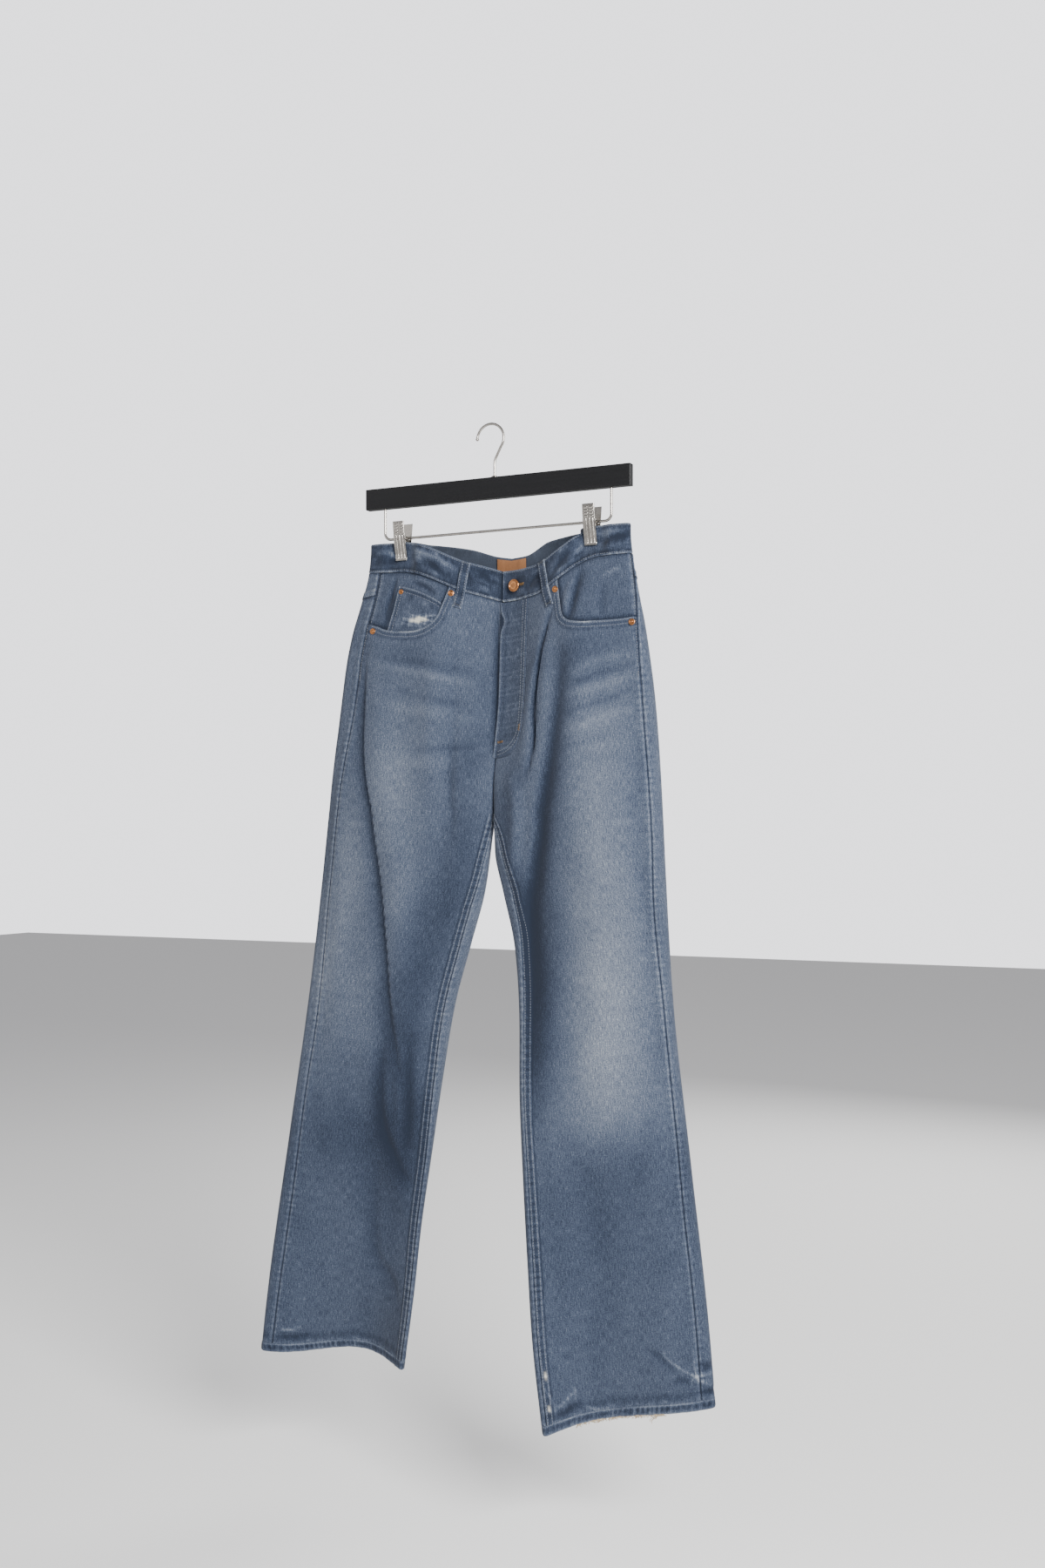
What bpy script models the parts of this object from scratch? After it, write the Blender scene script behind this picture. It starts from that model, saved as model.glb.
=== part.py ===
"""Straight-cut five-pocket jeans clipped by the waistband to a hanger.

Metres, +Z up. The origin is the inner crown of the hanger's hook, +X runs
along the bar to the viewer's right and the front of the jeans faces -Y.
Left and right are the viewer's.
"""
import math
from collections import namedtuple

import bpy
import numpy as np
from mathutils import Vector

# Cloth
CLOTH = 0.0013
BAND_CLOTH = 0.0018
HEM_CLOTH = 0.0022
LAYER_CLOTH = 0.0010
FACING_CLOTH = 0.0008
GAP = 0.0003
CENTRE_GAP = 0.0002

# Lengths down the side seam from the waist's top edge
BAND_RUN = 0.039
BAND_RUNS = (0.000, 0.0255, 0.039)
BAND_SEAM = 0.0007
CROTCH_RUN = 0.350
HEM_RUN = 1.100
HEM_HEIGHT = 0.012
HIP_OPEN_RUN = 0.268
SEAT_RUN = 0.180

# Round turn at the inner side of each leg, and how fast the hips rise from the centre
INNER_TURN = 0.007
CENTRE_RISE = 0.095

# Heights of the waistband's outer side: plain, lapping over and lapped under
BAND_OUT = 0.0004
LAP_OVER = 0.0016
LAP_UNDER = -0.0006
LAP_LENGTH = 0.036
LAP_EASE = 0.030

# Fly facing
FLY_WIDTH = 0.043
FLY_LAP = 0.0035
FLY_TOP_RUN = 0.0405
FLY_END_RUN = 0.267
FLY_CURVE = 0.040
FLY_GAP = 0.0009

# Facings behind the pocket mouths, from a u to the side seam, and the coin pocket
FACING_START = {"left": 0.160, "right": 0.212}
FACING_END_RUN = 0.142
FACING_SEAM = 0.002
COIN_START = 0.200
COIN_SPAN = 0.160
COIN_TOP_RUN = 0.0655
COIN_RISE = 0.008
COIN_END_RUN = 0.138

# Back pockets and yoke
YOKE_SIDE_RUN = 0.069
YOKE_CENTRE_RUN = 0.114
POCKET_INNER = 0.045
POCKET_WIDTH = 0.132
POCKET_TOP_RUN = 0.130
POCKET_HEIGHT = 0.125
POCKET_POINT = 0.018
POCKET_TILT = 0.010
POCKET_TAPER = 0.007
LAYER_GAP = 0.0005

# Belt loops
LOOP_WIDTH = 0.0115
LOOP_CLOTH = 0.0014
LOOP_STAND = 0.0014
CENTRE_LOOP_RUN = 0.060

# Leather label inside the back waistband
LABEL_WIDTH = 0.042
LABEL_RUNS = (0.003, 0.035)
LABEL_CLOTH = 0.0010

# Metal
RIVET_RADIUS = 0.0042
BUTTON_RADIUS = 0.0085
BUTTON_U = 0.0475
BUTTON_RUN = 0.0200

# Hanger
BAR_LENGTH = 0.384
BAR_DEPTH = 0.012
BAR_HEIGHT = 0.028
BAR_TOP = -0.069
BAR_BEVEL = 0.0015
HOOK_WIRE = 0.00175
HOOK_RADIUS = 0.01925
HOOK_X = -0.006
HOOK_START = 184
HOOK_END = -38
HOOK_TIP = 1.35
STEM_TOP = -0.047
WIRE = 0.0018
WIRE_X = 0.165
WIRE_Z = -0.1385
WIRE_BEND = 0.009

# Clips of the hanger
CLIP_X = 0.138
CLIP_WIDTH = 0.017
CLIP_PLATE = 0.0010
CLIP_SPRING = 0.0046
SPRING_LENGTH = 0.011
CLIP_PINCH = 0.0017
CLIP_REACH = 0.025
PINCH_HALF = 0.022
PINCH_FADE = 0.025

# Run over which the levels stop hanging from the clips, and below the crotch turn square to the leg
LEVEL_RUN = 0.20

# How full the legs are between their turns: powers of the depth across the hips and below
HIP_FLATNESS = 2.2
FULLNESS = 0.75

Outer = namedtuple("Outer", "run x y z turn")
Centre = namedtuple("Centre", "run x front_y front_z back_y back_z")
Inner = namedtuple("Inner", "run x y z")
Depth = namedtuple("Depth", "run front back")
Wrap = namedtuple("Wrap", "run left right")
Bow = namedtuple("Bow", "run back lift")
Hang = namedtuple("Hang", "run left_front right_front left_back right_back")
Fold = namedtuple("Fold", "side layer run_a across_a run_b across_b half_width height")
Edge = namedtuple("Edge", "u run")
Rivet = namedtuple("Rivet", "side u run size depth")
Loop = namedtuple("Loop", "name side top_u low_u low_run")
Turned = namedtuple("Turned", "share height")
Plate = namedtuple("Plate", "y z")

# The outermost line of each side, from the waist to the hem
OUTER_LEFT = (
    Outer(0.000, -0.1860, 0.000, -0.1440, 0.0045),
    Outer(0.039, -0.1895, 0.000, -0.1825, 0.0060),
    Outer(0.080, -0.2014, 0.000, -0.2241, 0.0080),
    Outer(0.118, -0.2140, 0.000, -0.2622, 0.0100),
    Outer(0.160, -0.2239, 0.000, -0.3042, 0.0110),
    Outer(0.220, -0.2330, 0.000, -0.3643, 0.0110),
    Outer(0.280, -0.2415, 0.000, -0.4244, 0.0110),
    Outer(0.350, -0.2503, 0.000, -0.4945, 0.0100),
    Outer(0.450, -0.2612, -0.002, -0.5947, 0.0100),
    Outer(0.600, -0.2777, -0.009, -0.7449, 0.0090),
    Outer(0.800, -0.3029, -0.023, -0.9452, 0.0080),
    Outer(1.000, -0.3300, -0.033, -1.1455, 0.0070),
    Outer(1.100, -0.3421, -0.035, -1.2456, 0.0060),
)
OUTER_RIGHT = (
    Outer(0.000, 0.1905, 0.000, -0.1440, 0.0045),
    Outer(0.039, 0.1930, 0.000, -0.1820, 0.0060),
    Outer(0.080, 0.1997, 0.000, -0.2237, 0.0080),
    Outer(0.118, 0.2080, 0.000, -0.2616, 0.0100),
    Outer(0.160, 0.2151, 0.000, -0.3034, 0.0110),
    Outer(0.220, 0.2230, 0.000, -0.3632, 0.0110),
    Outer(0.280, 0.2282, 0.000, -0.4230, 0.0110),
    Outer(0.350, 0.2327, 0.000, -0.4927, 0.0100),
    Outer(0.450, 0.2378, 0.000, -0.5924, 0.0100),
    Outer(0.600, 0.2468, 0.002, -0.7418, 0.0090),
    Outer(0.800, 0.2691, 0.005, -0.9411, 0.0080),
    Outer(1.000, 0.2917, 0.008, -1.1404, 0.0070),
    Outer(1.100, 0.3006, 0.008, -1.2400, 0.0060),
)

# The centre front and centre back lines, from the waist to the crotch
CENTRE = (
    Centre(0.000, 0.0075, 0.012, -0.1910, 0.038, -0.1700),
    Centre(0.039, 0.0070, 0.012, -0.2310, 0.040, -0.2090),
    Centre(0.080, 0.0065, 0.012, -0.2680, 0.043, -0.2500),
    Centre(0.160, 0.0060, 0.010, -0.3400, 0.046, -0.3300),
    Centre(0.250, 0.0030, 0.006, -0.4220, 0.044, -0.4200),
    Centre(0.310, 0.0010, -0.004, -0.4740, 0.036, -0.4740),
    Centre(0.350, 0.0000, -0.010, -0.5065, 0.030, -0.5065),
)

# Share of the drop between a clip and the centre at the waist, by the way
# from the centre (0) to the clip (1)
HANG = (
    Hang(0.00, 1.00, 1.00, 1.00, 1.00),
    Hang(0.15, 0.86, 0.99, 0.86, 0.92),
    Hang(0.40, 0.64, 0.90, 0.44, 0.30),
    Hang(0.55, 0.45, 0.68, 0.27, 0.17),
    Hang(0.70, 0.25, 0.42, 0.14, 0.08),
    Hang(0.87, 0.08, 0.12, 0.03, 0.02),
    Hang(1.00, 0.00, 0.00, 0.00, 0.00),
)

# The innermost line of each leg, from the crotch to the hem
INNER_LEFT = (
    Inner(0.350, -0.0002, 0.000, -0.5065),
    Inner(0.400, -0.0062, 0.000, -0.5573),
    Inner(0.450, -0.0150, 0.002, -0.6082),
    Inner(0.520, -0.0371, 0.005, -0.6793),
    Inner(0.600, -0.0628, 0.009, -0.7607),
    Inner(0.700, -0.0854, 0.016, -0.8623),
    Inner(0.800, -0.1054, 0.023, -0.9640),
    Inner(0.900, -0.1249, 0.029, -1.0657),
    Inner(1.000, -0.1397, 0.033, -1.1673),
    Inner(1.100, -0.1565, 0.035, -1.2690),
)
INNER_RIGHT = (
    Inner(0.350, 0.0002, 0.000, -0.5065),
    Inner(0.400, 0.0020, -0.001, -0.5578),
    Inner(0.450, 0.0150, -0.004, -0.6091),
    Inner(0.520, 0.0350, -0.011, -0.6809),
    Inner(0.600, 0.0464, -0.022, -0.7630),
    Inner(0.700, 0.0544, -0.038, -0.8656),
    Inner(0.800, 0.0671, -0.055, -0.9682),
    Inner(0.900, 0.0803, -0.070, -1.0708),
    Inner(1.000, 0.0929, -0.081, -1.1734),
    Inner(1.100, 0.1081, -0.085, -1.2760),
)

# Half depths in front of and behind the middle surface
DEPTH = (
    Depth(0.000, 0.008, 0.038),
    Depth(0.039, 0.011, 0.040),
    Depth(0.080, 0.016, 0.044),
    Depth(0.160, 0.022, 0.050),
    Depth(0.220, 0.024, 0.050),
    Depth(0.280, 0.028, 0.046),
    Depth(0.350, 0.031, 0.038),
    Depth(0.450, 0.029, 0.033),
    Depth(0.600, 0.024, 0.028),
    Depth(0.800, 0.020, 0.024),
    Depth(1.000, 0.016, 0.020),
    Depth(1.100, 0.013, 0.017),
)

# How far the side seams and the inseams lie in from the leg's edges, on the front
SIDE_WRAP = (
    Wrap(0.000, 0.024, 0.000),
    Wrap(0.040, 0.024, 0.000),
    Wrap(0.070, 0.028, 0.002),
    Wrap(0.096, 0.031, 0.006),
    Wrap(0.120, 0.034, 0.011),
    Wrap(0.180, 0.037, 0.017),
    Wrap(0.270, 0.036, 0.020),
    Wrap(0.400, 0.035, 0.019),
    Wrap(0.480, 0.033, 0.021),
    Wrap(0.620, 0.031, 0.017),
    Wrap(0.750, 0.026, 0.019),
    Wrap(0.900, 0.025, 0.022),
    Wrap(1.100, 0.020, 0.022),
)
INSEAM_WRAP = (
    Wrap(0.350, 0.000, 0.000),
    Wrap(0.375, 0.004, 0.016),
    Wrap(0.400, 0.008, 0.024),
    Wrap(0.430, 0.012, 0.028),
    Wrap(0.480, 0.017, 0.026),
    Wrap(0.540, 0.017, 0.020),
    Wrap(0.620, 0.017, 0.016),
    Wrap(0.700, 0.015, 0.015),
    Wrap(0.830, 0.011, 0.014),
    Wrap(1.100, 0.008, 0.010),
)

# How far the middle of each leg is pushed back, and its level lifted
BOW_LEFT = (Bow(0.350, 0.000, 0.000), Bow(0.600, 0.000, 0.000), Bow(0.800, 0.010, 0.000),
            Bow(0.900, 0.022, 0.001), Bow(1.000, 0.038, 0.003), Bow(1.100, 0.056, 0.006))
BOW_RIGHT = (Bow(0.350, 0.000, 0.000), Bow(0.700, 0.000, 0.000), Bow(0.900, 0.008, 0.000),
             Bow(1.000, 0.018, 0.000), Bow(1.100, 0.030, 0.001))
BOW_SKEW = 0.66

# Pocket mouths from the waistband seam to the side seam
MOUTH_LEFT = (Edge(0.181, BAND_RUN + BAND_SEAM), Edge(0.187, 0.0500), Edge(0.196, 0.0680), Edge(0.204, 0.0830),
              Edge(0.226, 0.0975), Edge(0.266, 0.1085), Edge(0.320, 0.1125), Edge(0.361, 0.1120),
              Edge(0.390, 0.1088), Edge(0.421, 0.1060))
MOUTH_RIGHT = (Edge(0.232, BAND_RUN + BAND_SEAM), Edge(0.235, 0.0520), Edge(0.2385, 0.0700), Edge(0.244, 0.0900),
               Edge(0.262, 0.1020), Edge(0.289, 0.1090), Edge(0.325, 0.1140), Edge(0.390, 0.1172),
               Edge(0.430, 0.1185), Edge(0.470, 0.1190))
MOUTHS = {"left": MOUTH_LEFT, "right": MOUTH_RIGHT}

# Rivets, the smaller one on the coin pocket below the front's surface
RIVETS = (
    Rivet("left", 0.1728, 0.0476, 1.00, 0.0),
    Rivet("left", 0.4040, 0.1145, 1.00, 0.0),
    Rivet("left", 0.3480, 0.0640, 0.85, CLOTH + LAYER_GAP),
    Rivet("right", 0.2245, 0.0521, 1.00, 0.0),
    Rivet("right", 0.4580, 0.1250, 1.00, 0.0),
)

# Sections of the rivets and the button: share of the radius, and height
RIVET_SECTION = (Turned(0.60, 0.0000), Turned(1.00, 0.0000), Turned(1.00, 0.0006), Turned(0.80, 0.0013),
                 Turned(0.45, 0.0013), Turned(0.35, 0.0019))
BUTTON_SECTION = (Turned(0.45, 0.0000), Turned(0.50, 0.0022), Turned(1.00, 0.0026), Turned(1.00, 0.0036),
                  Turned(0.93, 0.0044), Turned(0.80, 0.0044), Turned(0.74, 0.0038), Turned(0.30, 0.0041))

# Inner face of a clip's plate, splayed at the top and closed on the waistband
CLIP_JAW = CLIP_PINCH + BAND_OUT + 2 * GAP
CLIP_ROWS = (Plate(0.0125, -0.1170), Plate(0.0112, -0.1270), Plate(0.0092, WIRE_Z), Plate(0.0066, -0.1500),
             Plate(CLIP_JAW + 0.0011, -0.1600), Plate(CLIP_JAW + 0.0002, -0.1650),
             Plate(CLIP_JAW + 0.0012, -0.1685))

# Belt loops by the u of their upper and lower ends
LOOPS = (
    Loop("loop_front_left", "left", 0.1265, 0.1490, 0.0640),
    Loop("loop_front_right", "right", 0.1598, 0.2010, 0.0700),
    Loop("loop_back_left", "left", 0.7900, 0.7900, 0.0600),
    Loop("loop_back_right", "right", 0.7900, 0.7900, 0.0600),
)

# Rows of the panels down to the hem
PANEL_RUNS = (0.150, 0.190, 0.225, 0.250, 0.268, 0.290, 0.310, 0.328, 0.341, 0.350, 0.360, 0.375,
              0.395, 0.425, 0.465, 0.510, 0.560, 0.620, 0.690, 0.760, 0.830, 0.900, 0.960, 1.025)

# Rows between the pocket mouth's end and the first of these
TOP_ROWS = 3

# Columns of the back panel, from the side seam round to the inseam
BACK_COLUMNS = (0.000, 0.465, 0.474, 0.487, 0.500, 0.513, 0.528, 0.545, 0.575, 0.625, 0.675, 0.725,
                0.775, 0.825, 0.872, 0.912, 0.942, 0.963, 0.979, 0.991, 1.002, 1.014, 1.030)
BACK_FIXED = 9
BACK_STEP = 0.006
HEM_COLUMNS = (0.000, 0.013, 0.028, 0.050, 0.085, 0.130, 0.180, 0.230, 0.280, 0.330, 0.380, 0.420,
               0.450, 0.472, 0.487, 0.500, 0.513, 0.528, 0.550, 0.580, 0.620, 0.670, 0.720, 0.770,
               0.820, 0.870, 0.915, 0.950, 0.972, 0.987)

# Long soft folds: across runs from 0 at the centre or inseam to 1 at the side
FOLDS = (
    Fold("left", "front", 0.09, 0.84, 0.42, 0.62, 0.026, 0.005),
    Fold("left", "front", 0.34, 0.62, 0.80, 0.14, 0.026, 0.005),
    Fold("left", "front", 0.20, 0.27, 0.46, 0.22, 0.014, -0.003),
    Fold("left", "front", 0.66, 0.50, 0.90, 0.12, 0.018, 0.004),
    Fold("right", "front", 0.05, 0.46, 0.32, 0.30, 0.014, -0.006),
    Fold("right", "front", 0.06, 0.62, 0.40, 0.50, 0.026, 0.005),
    Fold("right", "front", 0.30, 0.26, 0.62, 0.14, 0.022, -0.004),
    Fold("left", "back", 0.28, 0.30, 0.55, 0.62, 0.024, 0.005),
    Fold("left", "back", 0.40, 0.70, 0.90, 0.40, 0.026, 0.004),
    Fold("right", "back", 0.28, 0.32, 0.52, 0.60, 0.024, 0.005),
    Fold("right", "back", 0.45, 0.35, 0.95, 0.62, 0.026, 0.004),
)

TABLE_COLUMNS = 361
TABLE_ROWS = 331


def smooth(t):
    """Ease from 0 to 1 with level ends."""
    t = np.clip(t, 0.0, 1.0)
    return t * t * (3.0 - 2.0 * t)


def read_rows(rows, column, run):
    """Value of one named column at a run, on a curve without overshoot."""
    knots = np.array([row.run for row in rows])
    values = np.array([getattr(row, column) for row in rows])
    step = np.diff(knots)
    rate = np.diff(values) / step
    slope = np.zeros_like(values)
    slope[0], slope[-1] = rate[0], rate[-1]
    for k in range(1, len(knots) - 1):
        if rate[k - 1] * rate[k] > 0:
            slope[k] = 2.0 * rate[k - 1] * rate[k] / (rate[k - 1] + rate[k])
    run = np.clip(run, knots[0], knots[-1])
    k = np.clip(np.searchsorted(knots, run, side="right") - 1, 0, len(knots) - 2)
    t = (run - knots[k]) / step[k]
    return (values[k] * (1 + 2 * t) * (1 - t) ** 2
            + slope[k] * step[k] * t * (1 - t) ** 2
            + values[k + 1] * t * t * (3 - 2 * t)
            + slope[k + 1] * step[k] * t * t * (t - 1))


def turn_cap(distance, radius):
    """Share of the full depth at a distance from a round turn's end."""
    t = np.clip(distance / radius, 0.0, 1.0)
    return np.sqrt(np.clip(1.0 - (1.0 - t) ** 2, 0.0, 1.0))


def fold_height(side, layer, run, across, width):
    """Outward height of the long folds on one layer."""
    total = np.zeros_like(across)
    for fold in FOLDS:
        if fold.side != side or fold.layer != layer:
            continue
        t = (run - fold.run_a) / (fold.run_b - fold.run_a)
        if t <= 0.0 or t >= 1.0:
            continue
        path = fold.across_a + (fold.across_b - fold.across_a) * t
        fade = math.sin(math.pi * t) ** 0.7
        total += fold.height * fade * np.exp(-((across - path) * width / fold.half_width) ** 2)
    return total


def ring(side, layer, run, across):
    """Points of one layer along one level, from the centre or inseam to the side."""
    sign = -1.0 if side == "left" else 1.0
    outer_rows = OUTER_LEFT if side == "left" else OUTER_RIGHT
    inner_rows = INNER_LEFT if side == "left" else INNER_RIGHT
    bow_rows = BOW_LEFT if side == "left" else BOW_RIGHT
    outer = [read_rows(outer_rows, name, run) for name in ("x", "y", "z")]
    turn = read_rows(outer_rows, "turn", run)
    front = layer == "front"
    if run <= CROTCH_RUN:
        opened = math.sqrt(1.0 - max(0.0, (run - HIP_OPEN_RUN) / (CROTCH_RUN - HIP_OPEN_RUN)) ** 2)
        inner = [read_rows(CENTRE, "x", run) + sign * CENTRE_GAP, 0.0, read_rows(CENTRE, layer + "_z", run)]
    else:
        opened = 0.0
        inner = [read_rows(inner_rows, name, run) for name in ("x", "y", "z")]
    width = math.hypot(outer[0] - inner[0], outer[1] - inner[1])
    depth = read_rows(DEPTH, layer, run)
    middle = read_rows(CENTRE, layer + "_y", run) * (-1.0 if front else 1.0)
    radius = INNER_TURN + (turn - INNER_TURN) * across
    rise = smooth(across * width / CENTRE_RISE)
    open_body = radius + (middle + (depth - middle) * rise - radius) * (1 - across ** HIP_FLATNESS) ** FULLNESS
    closed_body = radius + (depth - radius) * (4 * across * (1 - across)) ** FULLNESS
    body = closed_body + (open_body - closed_body) * (1 - smooth((run - SEAT_RUN) / (CROTCH_RUN - SEAT_RUN)))
    pinch = np.exp(-((inner[0] + sign * across * width - sign * CLIP_X) / PINCH_HALF) ** 6)
    pinch = pinch * (1 - smooth((run - CLIP_REACH) / PINCH_FADE))
    body = body + (CLIP_PINCH - body) * pinch
    inner_cap = np.sqrt(opened ** 2 + (1 - opened ** 2) * turn_cap(across * width, INNER_TURN) ** 2)
    body = body * turn_cap((1 - across) * width, turn) * inner_cap
    body = body + fold_height(side, layer, run, across, width)
    # The levels hang from the clips at the waist and run straight below the hips
    hang = 1 - read_rows(HANG, side + "_" + layer, np.minimum(1.0, across * width / CLIP_X))
    share = hang + (across - hang) * smooth(run / LEVEL_RUN)
    chord_x, chord_y = (outer[0] - inner[0]) / width, (outer[1] - inner[1]) / width
    turned = smooth((run - CROTCH_RUN) / LEVEL_RUN)
    back_x, back_y = -chord_y * turned * sign, 1.0 + (chord_x * sign - 1.0) * turned
    swing = np.sin(math.pi * across ** BOW_SKEW) ** 2
    shift = (-body if front else body) + read_rows(bow_rows, "back", run) * swing
    x = inner[0] + (outer[0] - inner[0]) * across + back_x * shift
    y = inner[1] + (outer[1] - inner[1]) * across + back_y * shift
    z = inner[2] + (outer[2] - inner[2]) * share + read_rows(bow_rows, "lift", run) * swing
    return np.stack([x, y, z], axis=-1)


class Shell:
    """The outer surface of one side of the jeans.

    u runs from the centre front or inseam (0) over the front to the side (0.5)
    and over the back to the centre back or inseam (1). run is the length down
    the side seam.
    """

    def __init__(self, side):
        self.side = side
        self.runs = np.unique(np.concatenate([
            np.linspace(0.0, HIP_OPEN_RUN, 70),
            CROTCH_RUN - (CROTCH_RUN - HIP_OPEN_RUN) * np.linspace(1, 0, 60) ** 2,
            np.linspace(CROTCH_RUN, HEM_RUN, 200)]))
        self.u = np.linspace(0.0, 1.0, TABLE_COLUMNS)
        fine = 0.5 - 0.5 * np.cos(np.linspace(0.0, math.pi, 600))
        half = self.u[: TABLE_COLUMNS // 2 + 1] * 2.0
        points, lengths = [], []
        for run in self.runs:
            halves = []
            for layer in ("front", "back"):
                curve = ring(side, layer, run, fine)
                along = np.concatenate([[0.0], np.cumsum(np.linalg.norm(np.diff(curve, axis=0), axis=1))])
                spread = np.stack([np.interp(half * along[-1], along, curve[:, k]) for k in range(3)], axis=-1)
                halves.append(spread)
                lengths.append(along[-1])
            points.append(np.concatenate([halves[0], halves[1][-2::-1]]))
        self.points = np.array(points)
        self.lengths = np.array(lengths).reshape(-1, 2)
        self.normals = self.find_normals()

    def find_normals(self):
        """Unit normals pointing out of the cloth."""
        grid = self.points
        closed = self.runs > CROTCH_RUN + 1e-6
        crotch = int(np.argmin(np.abs(self.runs - CROTCH_RUN)))
        along_u = np.gradient(grid, axis=1)
        along_u[closed, 0] = along_u[closed, -1] = (grid[closed, 1] - grid[closed, -2]) / 2
        along_v = np.gradient(grid, self.runs, axis=0)
        normal = np.cross(along_u, along_v)
        if self.side == "right":
            normal = -normal
        normal /= np.linalg.norm(normal, axis=-1, keepdims=True) + 1e-12
        for _ in range(3):
            padded = np.concatenate([normal[:, -2:-1], normal, normal[:, 1:2]], axis=1)
            padded[~closed, 0] = normal[~closed, 0]
            padded[~closed, -1] = normal[~closed, -1]
            normal = padded[:, :-2] + 2 * padded[:, 1:-1] + padded[:, 2:]
            normal[1:-1] = normal[:-2] + 2 * normal[1:-1] + normal[2:]
            normal[~closed, 0, 0] = 0.0
            normal[~closed, -1, 0] = 0.0
            normal[crotch, 0] = normal[crotch, -1] = (0.0, 0.0, -1.0)
            normal /= np.linalg.norm(normal, axis=-1, keepdims=True) + 1e-12
        return normal

    def read(self, field, u, run):
        """Value of a table at u and run, between its rows and columns."""
        u = np.where(u > 1.0, u - 1.0, u)
        column = np.clip(u, 0.0, 1.0) * (TABLE_COLUMNS - 1)
        c = np.clip(column.astype(int), 0, TABLE_COLUMNS - 2)
        fc = (column - c)[..., None]
        r = np.clip(np.searchsorted(self.runs, run, side="right") - 1, 0, len(self.runs) - 2)
        fr = ((run - self.runs[r]) / (self.runs[r + 1] - self.runs[r]))[..., None]
        top = field[r, c] * (1 - fc) + field[r, c + 1] * fc
        low = field[r + 1, c] * (1 - fc) + field[r + 1, c + 1] * fc
        return top * (1 - fr) + low * fr

    def at(self, u, run, out=0.0):
        """Points at a height out from the surface."""
        u, run = np.broadcast_arrays(np.asarray(u, float), np.asarray(run, float))
        normal = self.read(self.normals, u, run)
        normal = normal / np.linalg.norm(normal, axis=-1, keepdims=True)
        return self.read(self.points, u, run) + normal * np.asarray(out)[..., None]

    def length(self, run, layer):
        """Length of one layer's level."""
        return np.interp(run, self.runs, self.lengths[:, layer])

    def side_seam(self, run):
        """u of the side seam, which lies on the front."""
        return 0.5 - 0.5 * read_rows(SIDE_WRAP, self.side, run) / self.length(run, 0)

    def inseam(self, run):
        """u of the inseam, on the front below the crotch."""
        return 0.5 * read_rows(INSEAM_WRAP, self.side, run) / self.length(run, 0)


SHELLS = {}


def make_material(name, colour, roughness, metallic):
    """A plain Principled material."""
    material = bpy.data.materials.new(name)
    material.use_nodes = True
    shader = material.node_tree.nodes["Principled BSDF"]
    shader.inputs["Base Color"].default_value = (*colour, 1.0)
    shader.inputs["Roughness"].default_value = roughness
    shader.inputs["Metallic"].default_value = metallic
    return material


def add_object(name, vertices, faces, material, parent=None):
    """One named mesh object with its own material."""
    mesh = bpy.data.meshes.new(name)
    mesh.from_pydata([tuple(v) for v in vertices], [], faces)
    mesh.materials.append(material)
    mesh.shade_smooth()
    mesh.set_sharp_from_angle(angle=math.radians(40))
    obj = bpy.data.objects.new(name, mesh)
    obj.parent = parent
    bpy.context.collection.objects.link(obj)
    return obj


def add_slab(name, outer, inner, material, parent, closed=False):
    """A closed wall between an outer and an inner grid of points."""
    rows, columns = outer.shape[:2]
    vertices = np.concatenate([outer.reshape(-1, 3), inner.reshape(-1, 3)])
    shift = rows * columns
    spans = columns if closed else columns - 1
    faces = []
    for r in range(rows - 1):
        for c in range(spans):
            a, b = r * columns + c, r * columns + (c + 1) % columns
            d, e = a + columns, b + columns
            faces += [(a, d, e), (a, e, b)]
            faces += [(shift + a, shift + e, shift + d), (shift + a, shift + b, shift + e)]
    for c in range(spans):
        a, b = c, (c + 1) % columns
        faces += [(a, b, shift + b), (a, shift + b, shift + a)]
        a, b = a + (rows - 1) * columns, b + (rows - 1) * columns
        faces += [(a, shift + b, b), (a, shift + a, shift + b)]
    if not closed:
        for r in range(rows - 1):
            a, d = r * columns, (r + 1) * columns
            faces += [(a, shift + a, shift + d), (a, shift + d, d)]
            b, e = a + columns - 1, d + columns - 1
            faces += [(b, e, shift + e), (b, shift + e, shift + b)]
    obj = add_object(name, vertices, faces, material, parent)
    if signed_volume(obj.data) < 0:
        obj.data.flip_normals()
    return obj


def signed_volume(mesh):
    """Volume inside a closed mesh, negative when its faces point in."""
    total = 0.0
    for polygon in mesh.polygons:
        corners = [mesh.vertices[k].co for k in polygon.vertices]
        for k in range(1, len(corners) - 1):
            total += corners[0].dot(corners[k].cross(corners[k + 1])) / 6.0
    return total


def add_patch(name, shell, u, run, out, thickness, material, parent, closed=False):
    """A wall laid on a shell, its outer side at a height out."""
    outer = shell.at(u, run, out)
    inner = shell.at(u, run, np.asarray(out) - thickness)
    return add_slab(name, outer, inner, material, parent, closed)


def front_at(distance, run, out):
    """Points on the front by the distance from the centre line, negative on the left."""
    return centre_at(distance, run, out, 0)


def back_at(distance, run, out):
    """Points on the back by the distance from the centre line, negative on the left."""
    return centre_at(distance, run, out, 1)


def centre_at(distance, run, out, layer):
    """Points near a centre line, read from the shell that each lies on."""
    distance, run, out = np.broadcast_arrays(distance, run, out)
    points = np.zeros(distance.shape + (3,))
    for side, there in (("left", distance < 0), ("right", distance >= 0)):
        shell = SHELLS[side]
        u = 0.5 * np.abs(distance) / shell.length(run, layer)
        u = u if layer == 0 else 1.0 - u
        points[there] = shell.at(u, run, out)[there]
    return points


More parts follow.
